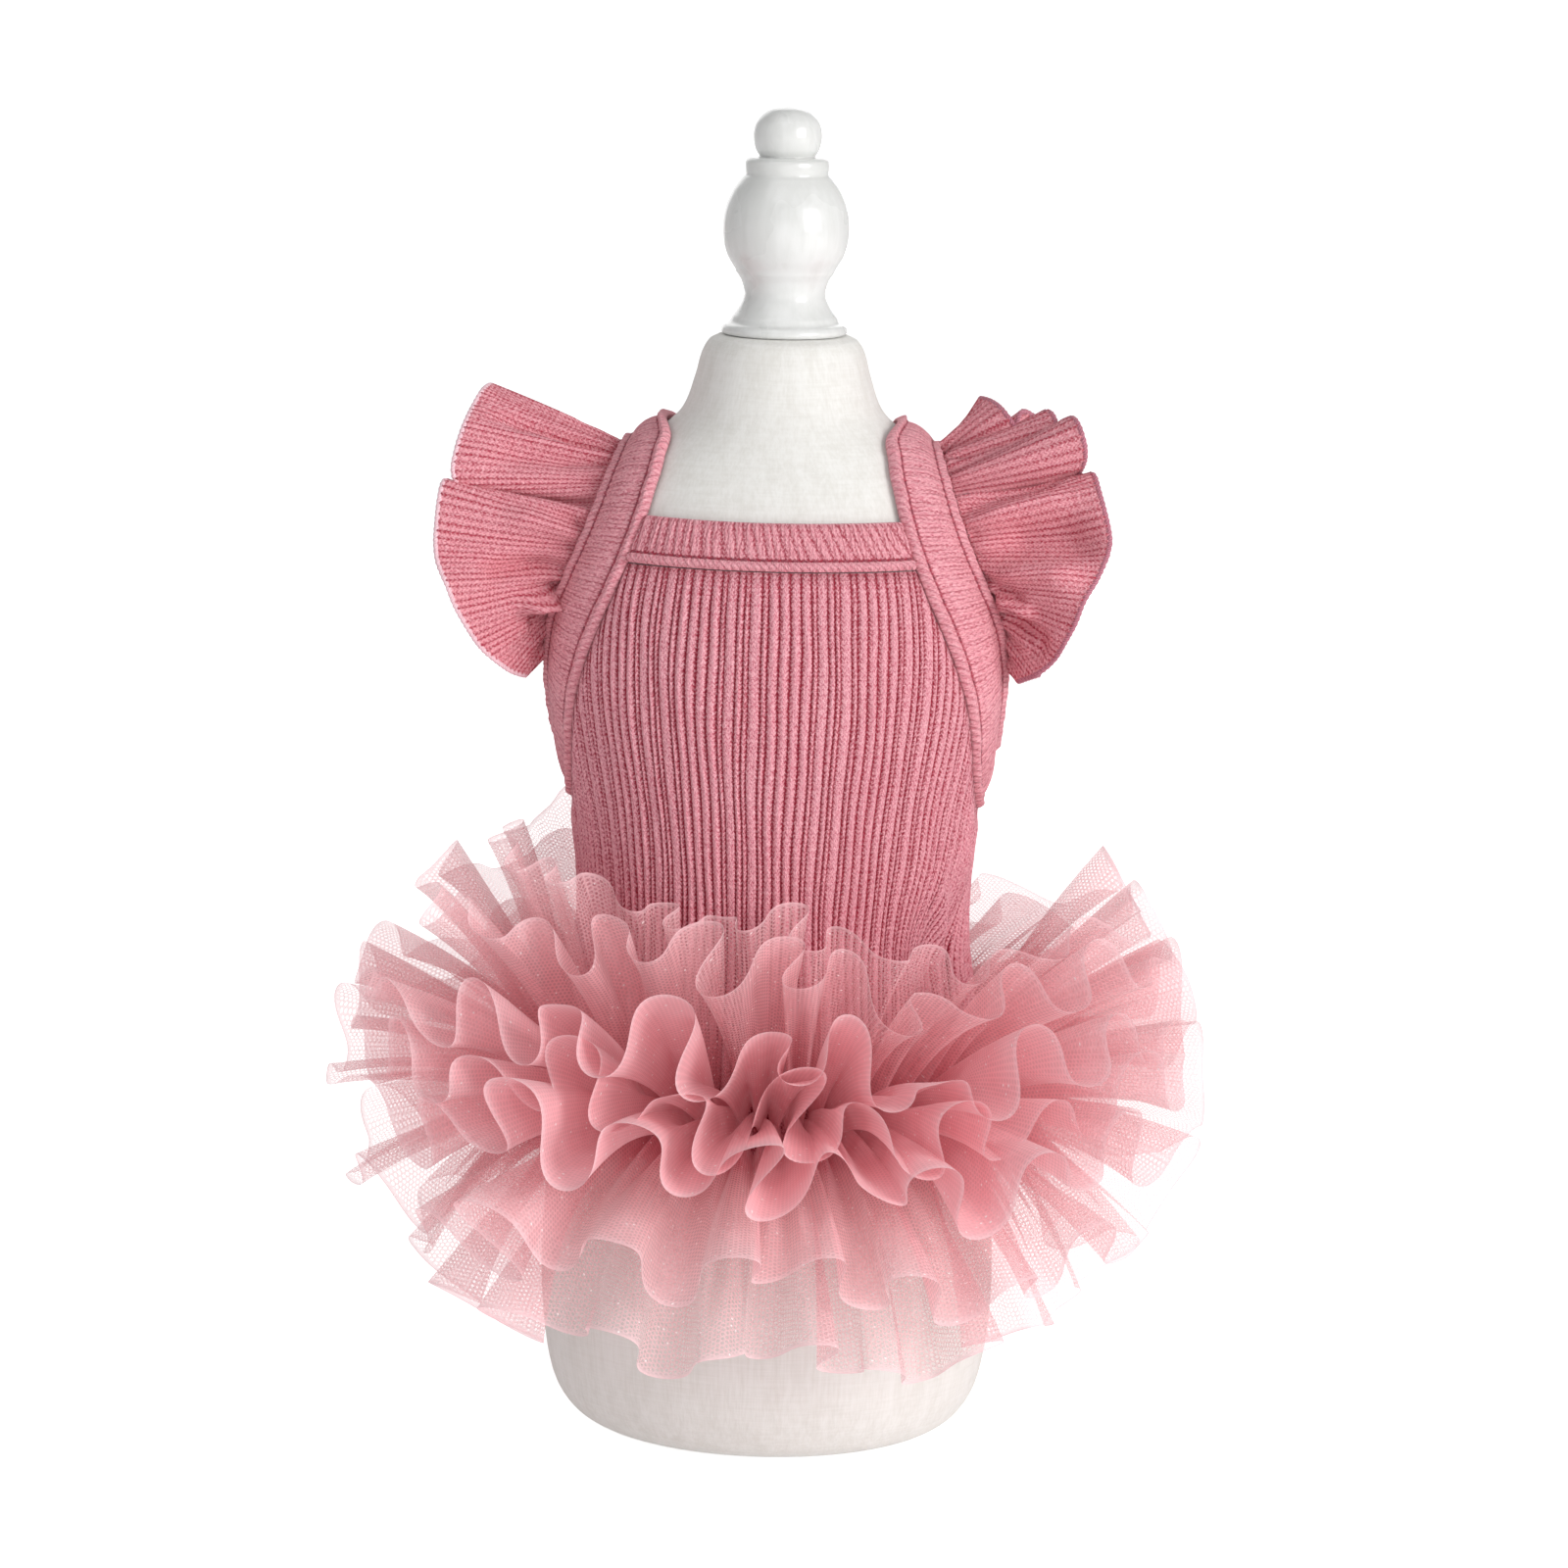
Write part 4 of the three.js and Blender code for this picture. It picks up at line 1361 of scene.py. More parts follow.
@dataclass
class Bodice:
    """One panel of the rib-knit bodice.

    Attributes:
        fade: Length over which the ribs flatten into a sewn edge.
        plain: A rib flatter than this is a plain, heathered one.
        pull: Angle by which the ribs are pulled forwards at the waist over +X.
        pull_at: Middle and half width of that pull as angles, the height where it begins, its growth below.
        loose_end: Length below the top over which the ribs begin to sway.
    """

    binding: ArmholeBinding
    face: Face
    hem: float = 86.0
    side_gap: float = 0.18
    foot_gap: float = 0.3
    fade: float = 7.0
    flat_below: float = 106.0
    rib_height: float = 1.1
    plain: float = 3.0
    repeats: int = 8
    per_rib: int = 7
    rows: int = 42
    pull: float = 26.0
    pull_at: tuple = (84.0, 30.0, 170.0, 34.0)
    loose_end: float = 20.0
    deepest: float = -0.9
    back_share: float = 0.6
    # Share of the repeat's width, height and flatness of each rib in one repeat.
    ribs: tuple = (
        (0.12, 1.0, 2.0), (0.12, 1.0, 2.0), (0.12, 1.0, 2.0), (0.12, 1.0, 2.0), (0.06, 0.7, 1.8),
        (0.12, 0.75, 4.0), (0.08, 0.85, 1.8), (0.06, 0.7, 1.8), (0.13, 0.75, 4.0), (0.07, 0.75, 1.8),
    )
    # Pulls in the knit: angle and height of both ends, depth and half width.
    creases: tuple = (
        (62.0, 166.0, 54.0, 108.0, 3.2, 3.2), (68.0, 160.0, 60.0, 108.0, -0.9, 2.8),
        (84.0, 160.0, 64.0, 112.0, 2.2, 2.8), (47.0, 150.0, 45.0, 108.0, 1.2, 2.6),
        (-80.0, 168.0, -66.0, 130.0, -0.7, 3.4), (-74.0, 150.0, -60.0, 118.0, 0.55, 3.2),
        (30.0, 228.0, 22.0, 196.0, -0.3, 3.6), (-31.0, 230.0, -25.0, 200.0, -0.3, 3.6),
    )
    # Size, length and slant of the ribs' sway in degrees and of their uneven height.
    sway: tuple = ((0.28, 16.0, 1 / 9), (0.16, 6.1, 1 / 4))
    uneven: tuple = ((0.12, 4.7, 1.7), (0.08, 2.3, 3.1))

    def top(self, angle: Array) -> Array:
        """Height of the panel's top edge at an angle: under the neck band, then down beside the binding."""
        seams = self.binding.seams
        foot = seams.top(self.face) - seams.band - self.foot_gap
        beside = np.minimum(np.abs(angle) + seams.gap_angle, 90.0)
        return np.minimum(foot, self.binding.neck_height(beside) - seams.gap_height)

    def rib_columns(self) -> tuple[Array, Array, Array]:
        """Angles across the panel with the rib's height and its place across the repeat.

        A rib's height falls from 1 in its middle to 0 in the grooves as 1 minus a power of the distance.

        Returns:
            Angles, heights and a mask of the plain, heathered ribs.
        """
        share, height, power = np.tile(np.array(self.ribs), (self.repeats, 1)).T[:, :, None]
        width = share * (180.0 / self.repeats)
        start = np.cumsum(width, axis=0) - width - 90.0
        across = np.linspace(-1, 1, self.per_rib, endpoint=False)
        angles = start + width * (across + 1) / 2
        heights = height * (1 - np.abs(across) ** power)
        plain = (power > self.plain) + 0.0 * across
        return np.append(angles, 90.0), np.append(heights, 0.0), np.append(plain, 0.0)

    def build(self) -> bpy.types.Object:
        """Make the panel: the form's surface between hem and top, with ribs and creases on the outside.

        The ribs sway in two slow sines and are pulled forwards over +X by a bell of the angle that grows
        downwards. Their height is the rib's own times an unevenness, faded towards both edges.

        Returns:
            The panel.
        """
        seams = self.binding.seams
        angles, ribs, plain = self.rib_columns()
        reach = 90.0 - self.side_gap
        angles = np.clip(angles, -reach, reach)
        share = np.linspace(0, 1, self.rows)
        top = self.top(angles)
        z = self.hem + (top - self.hem) * share[:, None]
        middle, half, high, growth = self.pull_at
        pull = self.pull * bell(self.face.value + angles, middle, half) * smooth_step((high - z) / growth)
        drift = plane_waves(self.sway, z, angles) * np.cos(np.radians(angles)) - pull
        angle = angles + drift * smooth_step((top - z) / self.loose_end)
        fade = smooth_step((top - z) / self.fade) * smooth_step((z - self.flat_below) / self.fade)
        uneven = 1 + plane_waves(self.uneven, z, angles)
        front = self.face is Face.FRONT
        pulls = line_bells(angle if front else -angle, z, self.creases) * (1 if front else self.back_share)
        lift = seams.lift + seams.thickness + self.rib_height * ribs * fade * uneven
        lift = lift + np.maximum(pulls, self.deepest)
        shape = self.binding.shape
        outer = shape.point(self.face.value + angle, z, lift)
        inner = shape.point(self.face.value + angle, z, np.full_like(lift, seams.lift))
        girth = float(lengths_along(shape.point(angles, np.full_like(angles, 200.0), 2.0))[-1])
        u = np.broadcast_to((angles + 90) / 180 * girth, z.shape)
        v = lengths_along(np.moveaxis(outer, 0, 1)).T
        # Painted shade: the crest mark falls to 0 in the grooves between the ribs, where the material lays on
        # the groove colour; plain ribs are lifted.
        crest = np.clip(ribs * (0.7 + 0.3 * fade) * uneven, 0, 1)
        crest = np.where(plain > 0, 0.12 + crest, crest)
        return cloth_shell(f"rib_panel_{self.face.name.lower()}", outer, inner, False, u, v, {"crest": crest})


# ---------------------------------------------------------------- flutter sleeves


@dataclass
class FlutterSleeve:
    """A gathered strip of rib knit sewn along the armhole.

    Attributes:
        cut: Share of the strip, depth there, and angle at which the cloth leaves the shoulder's own line.
        lobes: Share of the strip where each lobe ends, its swing, and how far its crest leans along the seam.
        creases: Share and depth of both ends of each crease, its height and its half width.
        hollow: How far a lobe falls softly and steeply towards its folds.
        sharpness: Steepness of a fold for a share of the strip, the least and the most.
        lip: Share of the lobe from the fold to the lip, and the lip's half width.
        pinch: How far the walls of a fold close in on it.
        notch: Share of the depth that a fold's edge lies deeper in.
        span: Shares of the armhole's length where the strip begins and ends.
        centre: Middle of the armhole, which the cloth leans away from.
        roll: Radius of the overlocked edge, its rise at a wrap and the length of a wrap.
    """

    binding: ArmholeBinding
    side: Side
    cut: tuple
    lobes: tuple
    creases: tuple
    swing: float = 8.5
    growth: float = 0.8
    hollow: tuple = (0.9, 1.1)
    sharpness: tuple = (30, 2.5, 10)
    lip: tuple = (0.14, 0.1)
    pinch: float = 2.0
    notch: float = 0.14
    press: float = 1.7
    span: tuple = (0.12, 0.88)
    seam_lift: float = 2.2
    seam_inset: float = 1.5
    seam_start: float = 0.4
    centre: tuple = (0.0, 0.0, 236.0)
    rib_count: int = 150
    per_rib: int = 4
    rows: int = 32
    rib_height: float = 0.55
    wall: float = 0.8
    roll: tuple = (0.72, 0.1, 1.55)
    roll_points: int = 1000
    roll_sides: int = 6
    # The ribs' uneven weight, the pleats at the seam, and how high the pleats stand along it.
    weight: Gathers = Gathers(31, 0.25, 2, 5)
    pleats: Gathers = Gathers(27, 1, 1.1, 9 / TURN)
    pleat_height: tuple = ((8, 0.5, 0.7),)
    # Count, size and angle of the waves half way out and of the flutter at the free edge.
    belly: tuple = ((13, 0.7, 1.9),)
    flutter: tuple = ((9.3, 0.45, 2.0), (21.7, 0.25, 0.0))

    def lobe_at(self, along: Array) -> tuple[Array, Array, Array, Array]:
        """Place of each point in its lobe.

        Args:
            along: Share of the strip.

        Returns:
            The share of the lobe from 0 to 1, the lobe's width as a share of the strip, its swing and lean.
        """
        table = np.array(self.lobes, float)
        ends = np.concatenate([[0.0], table[:, 0]])
        i = np.clip(np.searchsorted(ends, along, side="right") - 1, 0, len(table) - 1)
        width = ends[i + 1] - ends[i]
        return (along - ends[i]) / width, width, table[i, 1], table[i, 2]

    def surface(self, along: Array, out: Array) -> tuple[Array, Array]:
        """Middle surface of the sleeve and its distance from seam to edge.

        A straight ruling leaves the seam at each place, leaning from the armhole's middle. Lobes swing out
        of that surface between the folds, growing with the distance out: 1 less shares of the square and of
        a high power of the distance from the crest, so folds are narrow. A lip near a lobe's end hangs over
        the fold, and the fold's own edge lies a little deeper in.

        Args:
            along: Share of the strip from the front end over the shoulder to the back.
            out: Share of the depth from the seam.

        Returns:
            Points, and the depth at each.
        """
        share = self.span[0] + (self.span[1] - self.span[0]) * along
        edge, shape = self.binding.arm_edge(), self.binding.shape
        here, ahead = edge.at_length(share), edge.at_length(share + 0.01)
        root = shape.point(here[..., 0], here[..., 1], self.seam_lift)
        tangent = unit(shape.point(ahead[..., 0], ahead[..., 1], self.seam_lift) - root)
        lean = unit((root - np.array(self.centre)) * [0, 1, 1])
        table = np.array(self.cut, float)
        depth, flare = smooth_value(table, 1, along), np.radians(smooth_value(table, 2, along))
        away = np.cos(flare)[..., None] * np.array([1.0, 0, 0]) + np.sin(flare)[..., None] * lean
        normal = unit(np.cross(away, tangent))
        place, width, size, tilt = self.lobe_at(along)
        aside = np.abs(2 * place - 1)
        steep, least, most = self.sharpness
        fold = aside ** np.clip(steep * width, least, most)
        crest = 1 - self.hollow[0] * aside**2 - self.hollow[1] * fold
        swing = self.swing * out**self.growth * size
        from_fold, half = self.lip
        lip = bell(place, np.where(tilt > 0, 1 - from_fold, from_fold), half)
        shift = tilt * out * lip - self.pinch * out * np.sin(TURN * place)
        reach = depth * out * (1 - self.notch * fold * out)
        points = (
            root
            - self.seam_inset * lean
            + (reach + self.seam_start)[..., None] * away
            + (swing * crest)[..., None] * normal
            + shift[..., None] * tangent
        )
        return points, depth

    def build(self) -> tuple[bpy.types.Object, float]:
        """Make the sleeve: ribs run from seam to edge over the lobes, with tight pleats at the seam.

        Returns:
            The sleeve and the length of its free edge in millimetres.
        """
        s, t = np.meshgrid(np.linspace(0, 1, self.rib_count * self.per_rib + 1), np.linspace(0, 1, self.rows))
        middle, depth = self.surface(s, t)
        normal = unit(np.cross(np.gradient(middle, axis=1), np.gradient(middle, axis=0)))
        crest = 0.5 - 0.5 * (0.75 + self.weight.at(s)) * np.cos(TURN * self.rib_count * s)
        pleats = self.pleats.at(s) * (1.2 + waves(self.pleat_height, s))
        gathers = 1.15 * pleats * (1 - t) ** 1.4 * smooth_step(t / 0.05)
        gathers = gathers + 3 * waves(self.belly, s) * t * (1 - t)
        relief = self.rib_height * (crest - 0.5) + gathers + waves(self.flutter, s) * t**2
        relief = relief - self.press * line_bells(s, t, self.creases)
        half = self.wall * self.binding.seams.thickness / 2
        outer = middle + (relief + half)[..., None] * normal
        inner = middle + (relief - half)[..., None] * normal
        u = np.broadcast_to(lengths_along(middle[int(self.rows * 0.75)]), s.shape)
        rim = float(lengths_along(middle[-1])[-1])
        if self.side is Side.RIGHT:
            outer, inner = inner, outer
        mirror = np.array([self.side.value, 1, 1])
        # Painted shade: the crest mark falls between the ribs, where the material darkens the knit towards
        # the groove colour, never fully.
        marks = {"crest": np.clip(0.18 + 0.82 * crest, 0, 1)}
        name = f"sleeve_ruffle_{self.side.name.lower()}"
        return cloth_shell(name, outer * mirror, inner * mirror, False, u, depth * t, marks), rim

    def overlock(self) -> bpy.types.Object:
        """Wrap the free edge: a thread roll whose radius rises and falls at each wrap."""
        share = np.linspace(0, 1, self.roll_points)
        points, _ = self.surface(share, np.ones_like(share))
        length = lengths_along(points)
        even = np.interp(share * length[-1], length, share)
        path, _ = self.surface(even, np.ones_like(even))
        inside, _ = self.surface(even, np.full_like(even, 0.97))
        normal = unit(np.cross(np.gradient(path, axis=0), path - inside))
        path = (path + waves(self.flutter, even)[:, None] * normal) * np.array([self.side.value, 1, 1])
        thick, rise, wrap = self.roll
        radius = thick + rise * np.cos(TURN * length[-1] / wrap * share)
        return swept_cord(f"overlock_{self.side.name.lower()}", path, radius, self.roll_sides)


# Share of the strip, depth in millimetres, and flare in degrees.
SLEEVE_CUTS = {
    Side.RIGHT: (
        (0.0, 6, 60), (0.04, 13, 48), (0.08, 20, 38), (0.13, 28, 25), (0.18, 34.5, 14), (0.23, 39, 5),
        (0.27, 42, 1), (0.3, 37.5, 1), (0.33, 37.5, 2), (0.36, 40, 4), (0.42, 40, 9), (0.48, 39, 13),
        (0.54, 37, 12), (0.62, 38, 10), (0.8, 36, 14), (0.9, 25, 36), (1.0, 6, 60),
    ),
    Side.LEFT: (
        (0.0, 6, 60), (0.04, 10, 46), (0.08, 17, 36), (0.13, 24, 24), (0.18, 30, 14), (0.24, 38, 5),
        (0.29, 39, 7), (0.33, 39, 16), (0.37, 38.5, 23), (0.41, 32.5, 17), (0.45, 31, 17), (0.5, 21, 26),
        (0.54, 17, 36), (0.6, 21, 30), (0.68, 31, 18), (0.8, 35, 14), (0.9, 25, 36), (1.0, 6, 60),
    ),
}

# Where each lobe ends, its swing, and how far its lip hangs along the seam in millimetres.
SLEEVE_LOBES = {
    Side.RIGHT: ((0.31, 1.0, 8.0), (0.56, 0.9, -3.0), (0.78, 0.9, -6.0), (1.0, 0.7, -3.0)),
    Side.LEFT: (
        (0.335, 1.0, 6.0), (0.405, 0.5, 2.5), (0.475, 0.6, 2.5), (0.6, 0.8, -3.0), (0.8, 0.8, -5.0),
        (1.0, 0.7, -3.0),
    ),
}

# Share and depth of both ends, height and half width of each crease.
SLEEVE_CREASES = {
    Side.RIGHT: (
        (0.185, 0.0, 0.17, 0.75, -3.2, 0.02), (0.13, 0.0, 0.125, 0.5, 4.0, 0.012),
        (0.1, 0.0, 0.09, 0.45, -3.0, 0.012), (0.25, 0.0, 0.245, 0.6, 1.2, 0.014),
        (0.36, 0.0, 0.36, 0.9, -1.6, 0.014), (0.41, 0.0, 0.415, 0.95, -1.6, 0.014),
        (0.5, 0.0, 0.5, 0.4, -2.5, 0.018),
    ),
    Side.LEFT: (
        (0.115, 0.05, 0.1, 0.95, -2.6, 0.018), (0.15, 0.0, 0.14, 0.6, 3.0, 0.012),
        (0.168, 0.0, 0.155, 0.5, -2.2, 0.01), (0.2, 0.0, 0.19, 1.0, 2.6, 0.018),
        (0.238, 0.05, 0.24, 1.0, -4.0, 0.022), (0.28, 0.0, 0.275, 0.9, 1.5, 0.014),
        (0.31, 0.0, 0.315, 0.85, -1.6, 0.01),
    ),
}


# ---------------------------------------------------------------- tutu


@dataclass(frozen=True)
class Tier:
    """One gathered strip of tulle.

    Attributes:
        front: How steeply it rises at the front, in degrees.
        back: The same at the back.
        body: How closely the net is gathered at the front, from 0 to 1. Lower tiers are looser at the sides.
        merge: Share of the swing that pairs of waves have in common away from the front.
        lean: How much less steeply it rises over +X than over -X, in degrees.
    """

    seam: float
    front: float
    side: float
    back: float
    front_depth: float
    depth: float
    swing: float
    turn: float
    body: float
    merge: float = 0.6
    lean: float = 0.0
    parted: bool = False


@dataclass
class Tutu:
    """The tiers of tulle round the waist.

    Attributes:
        spring: Degrees by which a tier leaves its seam more steeply than its middle.
        droop: Degrees by which it bends down from seam to edge.
        loop: Sideways swing of a wave, as a share of its up-and-down swing.
        pairing: Share of the waves that are joined at the sides, and how much less at the front.
        pair: Swing and angle of a joined pair.
        loosening: Share of its body that a tier would keep at the sides above the first, each one's loss,
            and the least share.
        crowding: Power with which the gathers thin out from the seam, and its growth from tier to tier.
        hem: Share of the depth where the cut edge begins, and how softly.
    """

    shape: FormShape
    seams: Seams
    waves: int = 22
    growth: float = 1.2
    spring: float = 10.0
    droop: float = 22.0
    loop: float = -0.27
    seam_gap: float = 0.5
    pairing: tuple = (0.75, 1.1)
    pair: tuple = (1.35, 0.9)
    columns: int = 960
    rows: int = 24
    row_power: float = 0.9
    loosening: tuple = (1.2, 0.25, 0.1)
    crowding: tuple = (3.0, 0.25)
    thinning: float = 0.97
    hem: tuple = (0.975, 0.015)
    shade_power: float = 1.3
    tiers: tuple = (
        Tier(106, 78, 74, 34, 50, 61, 5.0, 0, 0.16, 0.5, 25.0, True),
        Tier(102.8, 56, 53, 20, 56, 61, 7.8, 0.9, 0.4, 0.6, 11.0, True),
        Tier(99.6, 30, 29, 6, 58, 60, 9, 1.5, 0.75, 0.65),
        Tier(96.4, 4, 5, -9, 58, 60, 9, 2.4, 0.8, 0.75),
        Tier(93.2, -20, -22, -26, 60, 57, 8.5, 3.3, 0.3, 0.9),
        Tier(90, -45, -47, -48, 62, 53, 8.5, 4, 0.08, 0.9),
    )
    # The second ply of the third strip, which fills the middle of the skirt, and the tier that it lies in.
    ply: Tier = Tier(98, 16, 17, -2, 55, 57, 9.5, 0.3, 0.75)
    ply_tier: int = 3
    # Count round the body, size and angle of the slow changes in bunching, swing, depth, tilt and rise.
    bunch: tuple = ((2, -7.0, 0.0), (3, 2.4, 0.6), (7, 0.9, 2.2))
    sway: tuple = ((4, 0.2, 1.1), (11, 0.4, 0.4), (17, 0.15, 2.0))
    reach: tuple = ((5, 0.03, 0.7), (9, 0.03, 2.9), (14, 0.02, 1.0))
    tilt: tuple = ((3, 0.35, 1.0), (5, 0.3, 2.4), (11, 0.2, 0.3))
    lift: tuple = ((1, -4, 0), (3, 3.5, 2.6), (8, 2.5, 0))
    # Fine gathers at the seam and flutter at the edge.
    gathers: Gathers = Gathers(67, 3.4, 2.1, 5)
    flutter: Gathers = Gathers(38, 0.7, 1.7, 4, 1)
    # Angle and half width of the two partings, where the upper strips hang thin and the bodice shows.
    partings: tuple = ((-11.0, 6.5), (25.0, 7.5))

    @staticmethod
    def round_body(angle: Array, front: float, side: float, back: float) -> Array:
        """Blend a front, side and back value round the body by the square of the angle's cosine."""
        cos = np.cos(np.radians(angle))
        return np.where(cos > 0, front, back) * cos**2 + side * (1 - cos**2)

    def surface(self, tier: Tier, turns: Array, down: Array) -> Array:
        """Middle surface of a tier.

        Each ruling is an arc that leaves the seam steeply and bends down. Waves swing across it, which join
        in pairs away from the front, and finer gathers that start at the seam die out towards the edge,
        where a small flutter takes over.

        Args:
            tier: The tier.
            turns: Place round the body from 0 to 1.
            down: Share of the way from seam to edge.

        Returns:
            Points with a last axis of 3.
        """
        angle = 360 * turns + waves(self.bunch, turns)
        around = TURN * turns
        phase = self.waves * around + tier.turn
        away = self.seams.lift + self.seams.thickness + self.seams.rib + self.seam_gap
        root = self.shape.point(angle, tier.seam, away)
        outward = unit(self.shape.outward(angle, tier.seam) * [1, 1, 0])
        aside = np.stack([-outward[..., 1], outward[..., 0], 0 * outward[..., 0]], -1)
        up = np.array([0.0, 0.0, 1.0])
        rise = self.round_body(angle, tier.front, tier.side, tier.back) + waves(self.lift, turns)
        rise = rise - tier.lean * np.clip(np.sin(around), 0, 1)
        depth = self.round_body(angle, tier.front_depth, tier.depth, tier.depth)
        depth = depth * (1 + waves(self.reach, turns + 0.03 * tier.turn))
        start, bend = np.radians(rise + self.spring), math.radians(-self.droop)
        end = start + bend * down
        swing = tier.swing * (1 + waves(self.sway, turns + 0.04 * tier.turn)) * down**self.growth
        fine = self.gathers.at(turns, tier.turn) * (1 - down) ** 1.1
        fine = fine + self.flutter.at(turns, 2 * tier.turn) * down**2
        pair_size, pair_turn = self.pair
        half = phase / 2 + pair_turn
        paired = tier.merge * smooth_step(self.pairing[0] - self.pairing[1] * np.cos(around))
        wave = swing * ((1 - paired) * np.sin(phase) + pair_size * paired * np.sin(half)) + fine
        reach = (depth / bend) * (np.sin(end) - np.sin(start)) - wave * np.sin(end)
        climb = (depth / bend) * (np.cos(start) - np.cos(end)) + wave * np.cos(end)
        loops = (1 - paired) * np.sin(2 * phase) + pair_size * paired * np.sin(2 * half)
        side_swing = swing * (self.loop * loops + waves(self.tilt, turns) * np.sin(phase))
        return root + reach[..., None] * outward + side_swing[..., None] * aside + climb[..., None] * up

    def density(self, tier: Tier, number: int, turns: Array, down: Array) -> Array:
        """How closely the net is gathered, from 0 to 1.

        It is full at the seam and thins out by a power to the tier's own body, which is looser away from the
        front. A parting is a bell of the angle that thins it further.

        Args:
            tier: The tier.
            number: Its number from the top, from 1, or 0 for the second ply.
            turns: Place round the body from 0 to 1.
            down: Share of the way from seam to edge.

        Returns:
            The density.
        """
        most, loss, least = self.loosening
        loose = float(np.clip(most - loss * (number or self.ply_tier), least, 1.0))
        front = smooth_step(1.5 * np.cos(TURN * turns) - 0.35)
        body = tier.body * (loose + (1 - loose) * front)
        power, growth = self.crowding
        crowd = body + (1 - body) * (1 - down) ** (power + growth * number)
        if tier.parted:
            around = (360 * turns + 180) % 360 - 180
            crowd = crowd * (1 - self.thinning * sum(bell(around, at, half) for at, half in self.partings))
        return crowd

    def build(self, number: int) -> tuple[bpy.types.Object, float, float]:
        """Make one tier as a single sheet of net.

        Args:
            number: The tier's number from the top, from 1, or 0 for the second ply.

        Returns:
            The tier, and the length and depth of its strip in millimetres.
        """
        tier = self.tiers[number - 1] if number else self.ply
        down = np.linspace(0, 1, self.rows) ** self.row_power
        s, t = np.meshgrid(np.arange(self.columns) / self.columns, down)
        grid = self.surface(tier, s, t)
        closed = np.concatenate([grid, grid[:, :1]], 1)
        length = lengths_along(closed[int(self.rows * 0.7)])
        u = np.broadcast_to(length, (self.rows, self.columns + 1))
        v = lengths_along(np.moveaxis(closed, 0, 1)).T
        marks = {
            "crowd": self.density(tier, number, s, t),
            "rim": smooth_step((t - self.hem[0]) / self.hem[1]),
            # Painted shade on the net, strongest at the seam.
            "root": (1 - t) ** self.shade_power,
        }
        piece = put_mesh(
            f"tulle_strip_{number}" if number else "tulle_ply",
            grid.reshape(-1, 3),
            grid_quads(self.rows, self.columns, True)[:, ::-1],
            grid_corners(u, v)[:, ::-1],
            marks,
        )
        return piece, float(lengths_along(closed[-1])[-1]), tier.depth


# ---------------------------------------------------------------- dressing and stage


def dress(
    piece: bpy.types.Object, material: bpy.types.Material, slot: str, replaces: Optional[str] = None
) -> bpy.types.Object:
    """Give a piece its material and its body, hide the solid it stands for, and log its faces and slot.

    Args:
        piece: The piece.
        material: Its material.
        slot: The record's material slot.
        replaces: The solid that it replaces.

    Returns:
        The piece.
    """
    piece.data.materials.append(material)
    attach(piece, BODY)
    if replaces:
        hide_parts(replaces)
    log.info("%s: %d faces, slot %s", piece.name, len(piece.data.polygons), slot)
    return piece


